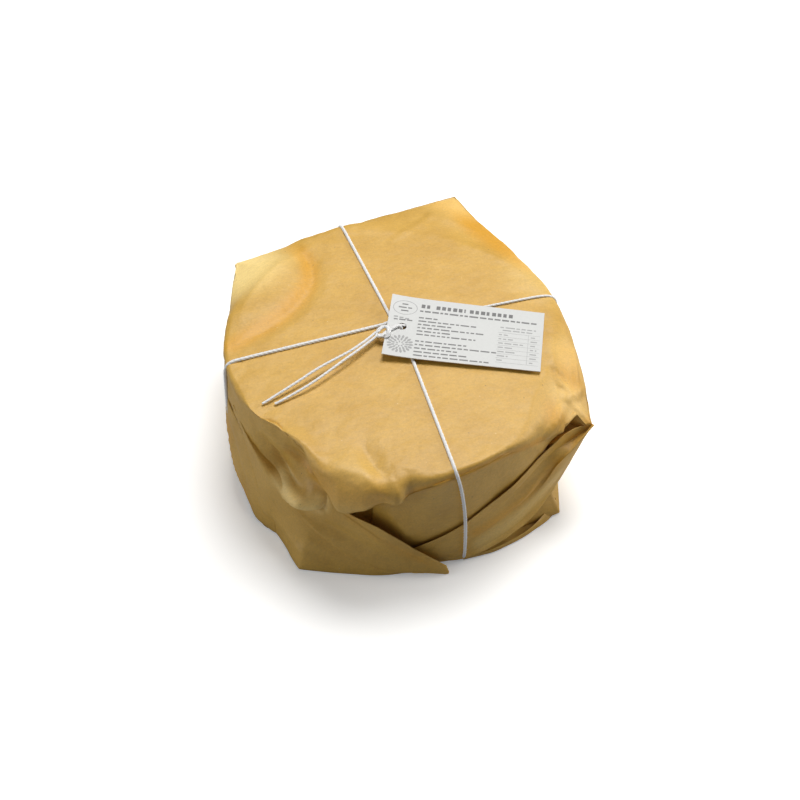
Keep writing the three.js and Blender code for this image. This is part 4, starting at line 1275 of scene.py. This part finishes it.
class Nodes(Wiring):
    """Shader nodes that read the place on the object. Scales are in cells to the metre."""

    def __init__(self, tree):
        super().__init__(tree)
        self.place = self.add("ShaderNodeTexCoord").outputs["Object"]

    def spread(self, value, low, high, to_low=0.0, to_high=1.0):
        return self.add("ShaderNodeMapRange", {
            "Value": value, "From Min": low, "From Max": high, "To Min": to_low, "To Max": to_high}).outputs[0]

    def stretched(self, scale):
        return self.add("ShaderNodeMapping", {"Scale": scale, "Vector": self.place}).outputs[0]

    def noise(self, scale, detail=3.0, roughness=0.5, place=None):
        return self.add("ShaderNodeTexNoise", {
            "Vector": place or self.place, "Scale": scale, "Detail": detail, "Roughness": roughness}).outputs["Fac"]

    def dots(self, scale, size):
        """1 inside small round dots, 0 between them. size is a share of a cell."""
        cells = self.add("ShaderNodeTexVoronoi", {"Vector": self.place, "Scale": scale})
        return self.spread(cells.outputs["Distance"], size, 0.6 * size)

    def attribute(self, name):
        return self.add("ShaderNodeAttribute", attribute_name=name).outputs["Fac"]

    def grey(self, tone):
        return self.add("ShaderNodeCombineColor", {0: tone, 1: tone, 2: tone}).outputs[0]

    def mix(self, factor, first, second, blend="MIX"):
        return self.add("ShaderNodeMix", {0: factor, 6: first, 7: second}, data_type="RGBA",
                        blend_type=blend).outputs[2]

    def bump(self, height, strength, distance):
        return self.add("ShaderNodeBump", {
            "Strength": strength, "Distance": distance, "Height": height}).outputs["Normal"]


print("materials read", [name for name in vars(Nodes) if not name.startswith("_")])

# %% Kraft paper
KRAFT = (0.635, 0.372, 0.062, 1)
KRAFT_DEEP = (0.57, 0.322, 0.045, 1)
# painted light: paler paper where light comes through it or falls full on a facet
KRAFT_PAINTED_LIGHT = (1, 0.74, 0.28, 1)
# painted shade and painted light: a deeper golden tone in folds and recesses, and where light comes through two layers
KRAFT_PAINTED_GOLD = (0.68, 0.33, 0.012, 1)
SPECK, SPECK_SHARE = (0.16, 0.09, 0.03, 1), 0.6
FLECK, FLECK_SHARE = (0.9, 0.72, 0.42, 1), 0.4
CLOUD_SCALE, FIBRE_SCALE, GRAIN_SCALE, WAVE_SCALE = 42, 260, 900, 75
SPECK_SCALE, SPECK_SIZE, FLECK_SCALE, FLECK_SIZE = 130, 0.062, 190, 0.075
PAPER_ROUGHNESS, PAPER_GLOSS, PAPER_RELIEF = 0.55, 0.85, 0.0011

kraft, nodes, shader = new_material("kraft_paper")
clouds = nodes.noise(CLOUD_SCALE, 4, 0.6)
grain = nodes.noise(GRAIN_SCALE, 5, 0.75)
fibres = nodes.noise(FIBRE_SCALE, 3, 0.6, nodes.stretched((1, 3.5, 2)))
colour = nodes.mix(nodes.spread(clouds, 0.38, 0.66), KRAFT, KRAFT_DEEP)
# painted shade, and painted light through two layers, as a deeper golden tone
colour = nodes.mix(nodes.attribute("gold"), colour, KRAFT_PAINTED_GOLD)
# painted light, as paler paper
colour = nodes.mix(nodes.attribute("glow"), colour, KRAFT_PAINTED_LIGHT)
tone = nodes.math("MULTIPLY", nodes.spread(grain, 0.3, 0.7, 0.88, 1.1), nodes.spread(fibres, 0.3, 0.7, 0.95, 1.05))
colour = nodes.mix(1.0, colour, nodes.grey(tone), "MULTIPLY")
# Specks and flecks lie in loose groups, which a slow noise picks.
specks = nodes.math("MULTIPLY", nodes.dots(SPECK_SCALE, SPECK_SIZE), nodes.spread(nodes.noise(55, 1), 0.52, 0.6))
flecks = nodes.math("MULTIPLY", nodes.dots(FLECK_SCALE, FLECK_SIZE), nodes.spread(nodes.noise(70, 1), 0.5, 0.62))
colour = nodes.mix(nodes.math("MULTIPLY", specks, SPECK_SHARE), colour, SPECK)
colour = nodes.mix(nodes.math("MULTIPLY", flecks, FLECK_SHARE), colour, FLECK)
nodes.put(shader["Base Color"], colour)
shader["Roughness"].default_value = PAPER_ROUGHNESS
shader["Specular IOR Level"].default_value = PAPER_GLOSS
waves = nodes.noise(WAVE_SCALE, 3, 0.55)
relief = nodes.math("ADD", nodes.math("MULTIPLY", waves, 0.75), nodes.math("MULTIPLY", grain, 0.08))
nodes.put(shader["Normal"], nodes.bump(relief, 1.0, PAPER_RELIEF))
print("kraft paper has", len(nodes.tree.nodes), "nodes")

# %% Painted light and painted shade on the paper
# [x, y, reach in mm, strength] of paler spots: painted light where light comes through the paper
PAINTED_LIGHT_SPOTS = [[-72, 88, 46, 1.0], [74, 104, 26, 0.4], [78, -70, 16, 0.35], [-52, -92, 24, 0.12],
         [88, -42, 16, 0.25], [98, 20, 34, 0.3]]
PAINTED_LIGHT_HEIGHTS = (45, 72)  # below the first they don't show, above the second they do in full
SHADE_POINTS = 16
# width, strength, places: painted light on lit facets of the upright sides, as paler paper
PAINTED_LIGHT_LINES = [
    (22, 0.9, [[324, 112, 8], [324, 111, 36]]),
    (9, 0.35, [[308, 110, 32], [302.5, 107.6, 26], [296, 105.7, 20], [288, 104.3, 15.5], [280, 103.7, 11]]),
    (9, 0.7, [[214, 97, 50], [222.3, 104.9, 47], [228.4, 101.5, 47]]),
]
# width, strength, places: a deeper golden tone, painted shade in folds, recesses and the brink's rounding, and
# painted light where light comes through two layers
PAINTED_GOLD_LINES = [
    (15, 0.95, [[58, 124, 79], [50, 116, 79], [42, 107, 79], [32, 101, 78], [20, 98, 78]]),
    (9, 0.75, [[112, 98, 80], [112, 89, 84], [113.5, 77, 84], [121, 66, 84.5], [130.3, 62, 84.5], [140, 62.5, 84.5],
               [152, 67, 84], [160, 76, 84], [168, 90, 84]]),
    (3.5, 0.8, [[232, 104, 68], [238, 107, 61.5], [244, 106, 65], [249.3, 105, 69.5], [253, 107, 68.5], [257, 105, 73],
                [260.7, 105.6, 77], [268.5, 104.6, 79.5], [275.3, 103.6, 80], [282, 102.5, 80], [288, 102.4, 78.5],
                [294.4, 103.5, 75.5], [302.5, 103, 69]]),
    (5, 0.6, [[209, 97.7, 50], [216.7, 100.9, 45.5], [222.3, 104.9, 47], [228.4, 101.5, 46.5]]),
    (4, 0.6, [[214.1, 93.7, 66.6], [221.7, 91.9, 61.8], [227, 94, 57]]),
    (13, 0.75, [[230, 104, 74], [238, 107, 74], [246, 109, 75]]),
    (8, 0.7, [[178, 99, 30], [184, 99.5, 18], [190, 101, 8], [197, 102, 4]]),
    (14, 0.6, [[334, 98, 77], [325, 101, 76], [318, 106, 73], [310, 102, 74]]),
    (5, 0.9, [[318, 116, 62], [316, 109, 62], [311, 105, 60], [306, 102, 55]]),
    (6, 0.7, [[306, 111, 48], [298, 106, 33], [289, 103, 27], [278, 102, 22]]),
    (5, 0.6, [[238, 99, 43], [251.5, 102, 23.8], [264, 104, 6]]),
    (12, 0.6, [[181, 98, 40], [186, 99, 24], [196, 101, 8]]),
]


def add_glow(piece):
    """Stores the painted light and the painted shade at each point of the paper."""
    points = np.empty(len(piece.data.vertices) * 3)
    piece.data.vertices.foreach_get("co", points)
    points = points.reshape(-1, 3) / MM
    glow = np.zeros(len(points))
    for x, y, reach, strength in PAINTED_LIGHT_SPOTS:
        away = np.hypot(points[:, 0] - x, points[:, 1] - y)
        glow = np.maximum(glow, strength * smooth_step(reach, 0.25 * reach, away))
    glow *= smooth_step(*PAINTED_LIGHT_HEIGHTS, points[:, 2])
    gold = np.zeros(len(points))
    for shade, lines in ((glow, PAINTED_LIGHT_LINES), (gold, PAINTED_GOLD_LINES)):
        for width, strength, table in lines:
            distance = near_line(points, curve_through(places(table), SHADE_POINTS))[0]
            np.maximum(shade, strength * smooth_step(width, 0.2 * width, distance), out=shade)
    piece.data.attributes.new("glow", "FLOAT", "POINT").data.foreach_set("value", glow)
    piece.data.attributes.new("gold", "FLOAT", "POINT").data.foreach_set("value", gold)


for piece in paper_pieces:
    add_glow(piece)
    piece.data.materials.clear()
    piece.data.materials.append(kraft)
print(len(PAINTED_LIGHT_SPOTS) + len(PAINTED_LIGHT_LINES), "paler places and", len(PAINTED_GOLD_LINES), "golden ones")

# %% [markdown]
# ### Cotton, card and ink
#
# Cotton twine is a warm cream with a soft, matt surface. The card is smooth and slightly cool, and its ink is grey.
# Each could be one plain colour, but a faint noise in the twine and the card keeps them from looking like plastic.

# %% Cotton, card and ink
COTTON, COTTON_PALE = (0.6, 0.49, 0.31, 1), (0.83, 0.71, 0.5, 1)
CARD, CARD_PALE = (0.595, 0.6, 0.59, 1), (0.65, 0.655, 0.645, 1)
INK_SHADES = {tag_print_title: 0.17, tag_print_dark: 0.2, tag_print_light: 0.36}
COTTON_ROUGHNESS, CARD_ROUGHNESS, INK_ROUGHNESS = 0.85, 0.5, 0.6

cotton, nodes, shader = new_material("cotton_twine")
nodes.put(shader["Base Color"], nodes.mix(nodes.spread(nodes.noise(700, 4, 0.6), 0.3, 0.7), COTTON, COTTON_PALE))
shader["Roughness"].default_value = COTTON_ROUGHNESS
nodes.put(shader["Normal"], nodes.bump(nodes.noise(2600, 3, 0.6), 0.5, 0.0002))
card_white, nodes, shader = new_material("tag_card")
nodes.put(shader["Base Color"], nodes.mix(nodes.noise(500, 3, 0.6), CARD, CARD_PALE))
shader["Roughness"].default_value = CARD_ROUGHNESS
nodes.put(shader["Normal"], nodes.bump(nodes.noise(900, 2), 0.3, 0.0001))
card.data.materials.clear()
card.data.materials.append(card_white)
for piece, shade in INK_SHADES.items():
    ink, nodes, shader = new_material(piece.name)
    shader["Base Color"].default_value = (shade, shade, shade, 1)
    shader["Roughness"].default_value = INK_ROUGHNESS
    piece.data.materials.append(ink)
print("materials", [material.name for material in (kraft, cotton, card_white)], "and", len(INK_SHADES), "inks")

# %% [markdown]
# ## Stage and light
#
# One large soft light stands high behind the parcel, a little to the right, as the short shadows towards the viewer
# show. Two weaker ones stand lower at the right and the left, and the upright sides also get what comes back from
# the floor. The floor looks white but gives back less than that, or it would light the sides as brightly as the top.

# %% Floor and world
FLOOR_SIZE, FLOOR_DEPTH = 6, 0.0002
FLOOR_SEEN = (1.0, 1.0, 1.0, 1)
FLOOR_BOUNCE = (0.46, 0.47, 0.49, 1)
FLOOR_LIFT = 0.21
WORLD_COLOUR, WORLD_STRENGTH = (0.92, 0.97, 1, 1), 0.15

bpy.ops.mesh.primitive_plane_add(size=FLOOR_SIZE, location=(0, 0, -FLOOR_DEPTH))
floor = bpy.context.object
floor.name = "floor"
white, nodes, shader = new_material("floor_white")
ray = nodes.add("ShaderNodeLightPath").outputs["Is Camera Ray"]
nodes.put(shader["Base Color"], nodes.mix(ray, FLOOR_BOUNCE, FLOOR_SEEN))
shader["Roughness"].default_value = 1
shader["Specular IOR Level"].default_value = 0
shader["Emission Color"].default_value = (1, 1, 1, 1)
nodes.put(shader["Emission Strength"], nodes.math("MULTIPLY", ray, FLOOR_LIFT))
floor.data.materials.append(white)
world = bpy.data.worlds.new("studio")
world.use_nodes = True
world.node_tree.nodes["Background"].inputs["Color"].default_value = WORLD_COLOUR
world.node_tree.nodes["Background"].inputs["Strength"].default_value = WORLD_STRENGTH
bpy.context.scene.world = world
bpy.context.scene.view_settings.view_transform = "Standard"
print("floor gives back", FLOOR_BOUNCE[0], "of the light")

# %% Lights
LIGHT_AIM = Vector((0, 0, 0.05))
WARM, COOL = (1, 0.985, 0.96), (0.97, 0.99, 1)
LIGHTS = {  # place, size, power, colour
    "softbox": ((0.31, 0.44, 1.5), 0.8, 20.3, WARM),
    "right": ((1.2, -0.1, 0.55), 0.8, 8, WARM),
    "left": ((-1.3, 0.0, 0.6), 0.9, 5, COOL),
}


def add_light(name, place, size, power, colour):
    data = bpy.data.lights.new(name, "AREA")
    data.shape, data.size, data.energy, data.color = "DISK", size, power, colour
    light = bpy.data.objects.new(name, data)
    light.location = place
    light.rotation_mode = "QUATERNION"
    light.rotation_quaternion = (LIGHT_AIM - Vector(place)).to_track_quat("-Z", "Y")
    bpy.context.scene.collection.objects.link(light)


for name, light in LIGHTS.items():
    add_light(name, *light)
print("lights", list(LIGHTS))

# %% [markdown]
# ## Bodies
#
# Nothing on this parcel moves, so every piece rides on the root. The pieces are listed by material slot, and the
# CAD's own parts are hidden, among them those of the two tails, which are free ends.

# %% Bodies and slots
pieces_of = {"kraft_paper": paper_pieces, "cotton_twine": [loops, knot, *[tail for tail, _ in tails.values()]],
             "tag_card": [card], "tag_print": [tag_print_title, tag_print_dark, tag_print_light]}
for slot, members in pieces_of.items():
    for piece in members:
        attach(piece, "root")
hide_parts("wrapper")
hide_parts("twine")
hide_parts("twine")
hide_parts("tag")
for name, (tail, route) in tails.items():
    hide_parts(name)
print("pieces in each slot", {slot: len(members) for slot, members in pieces_of.items()})
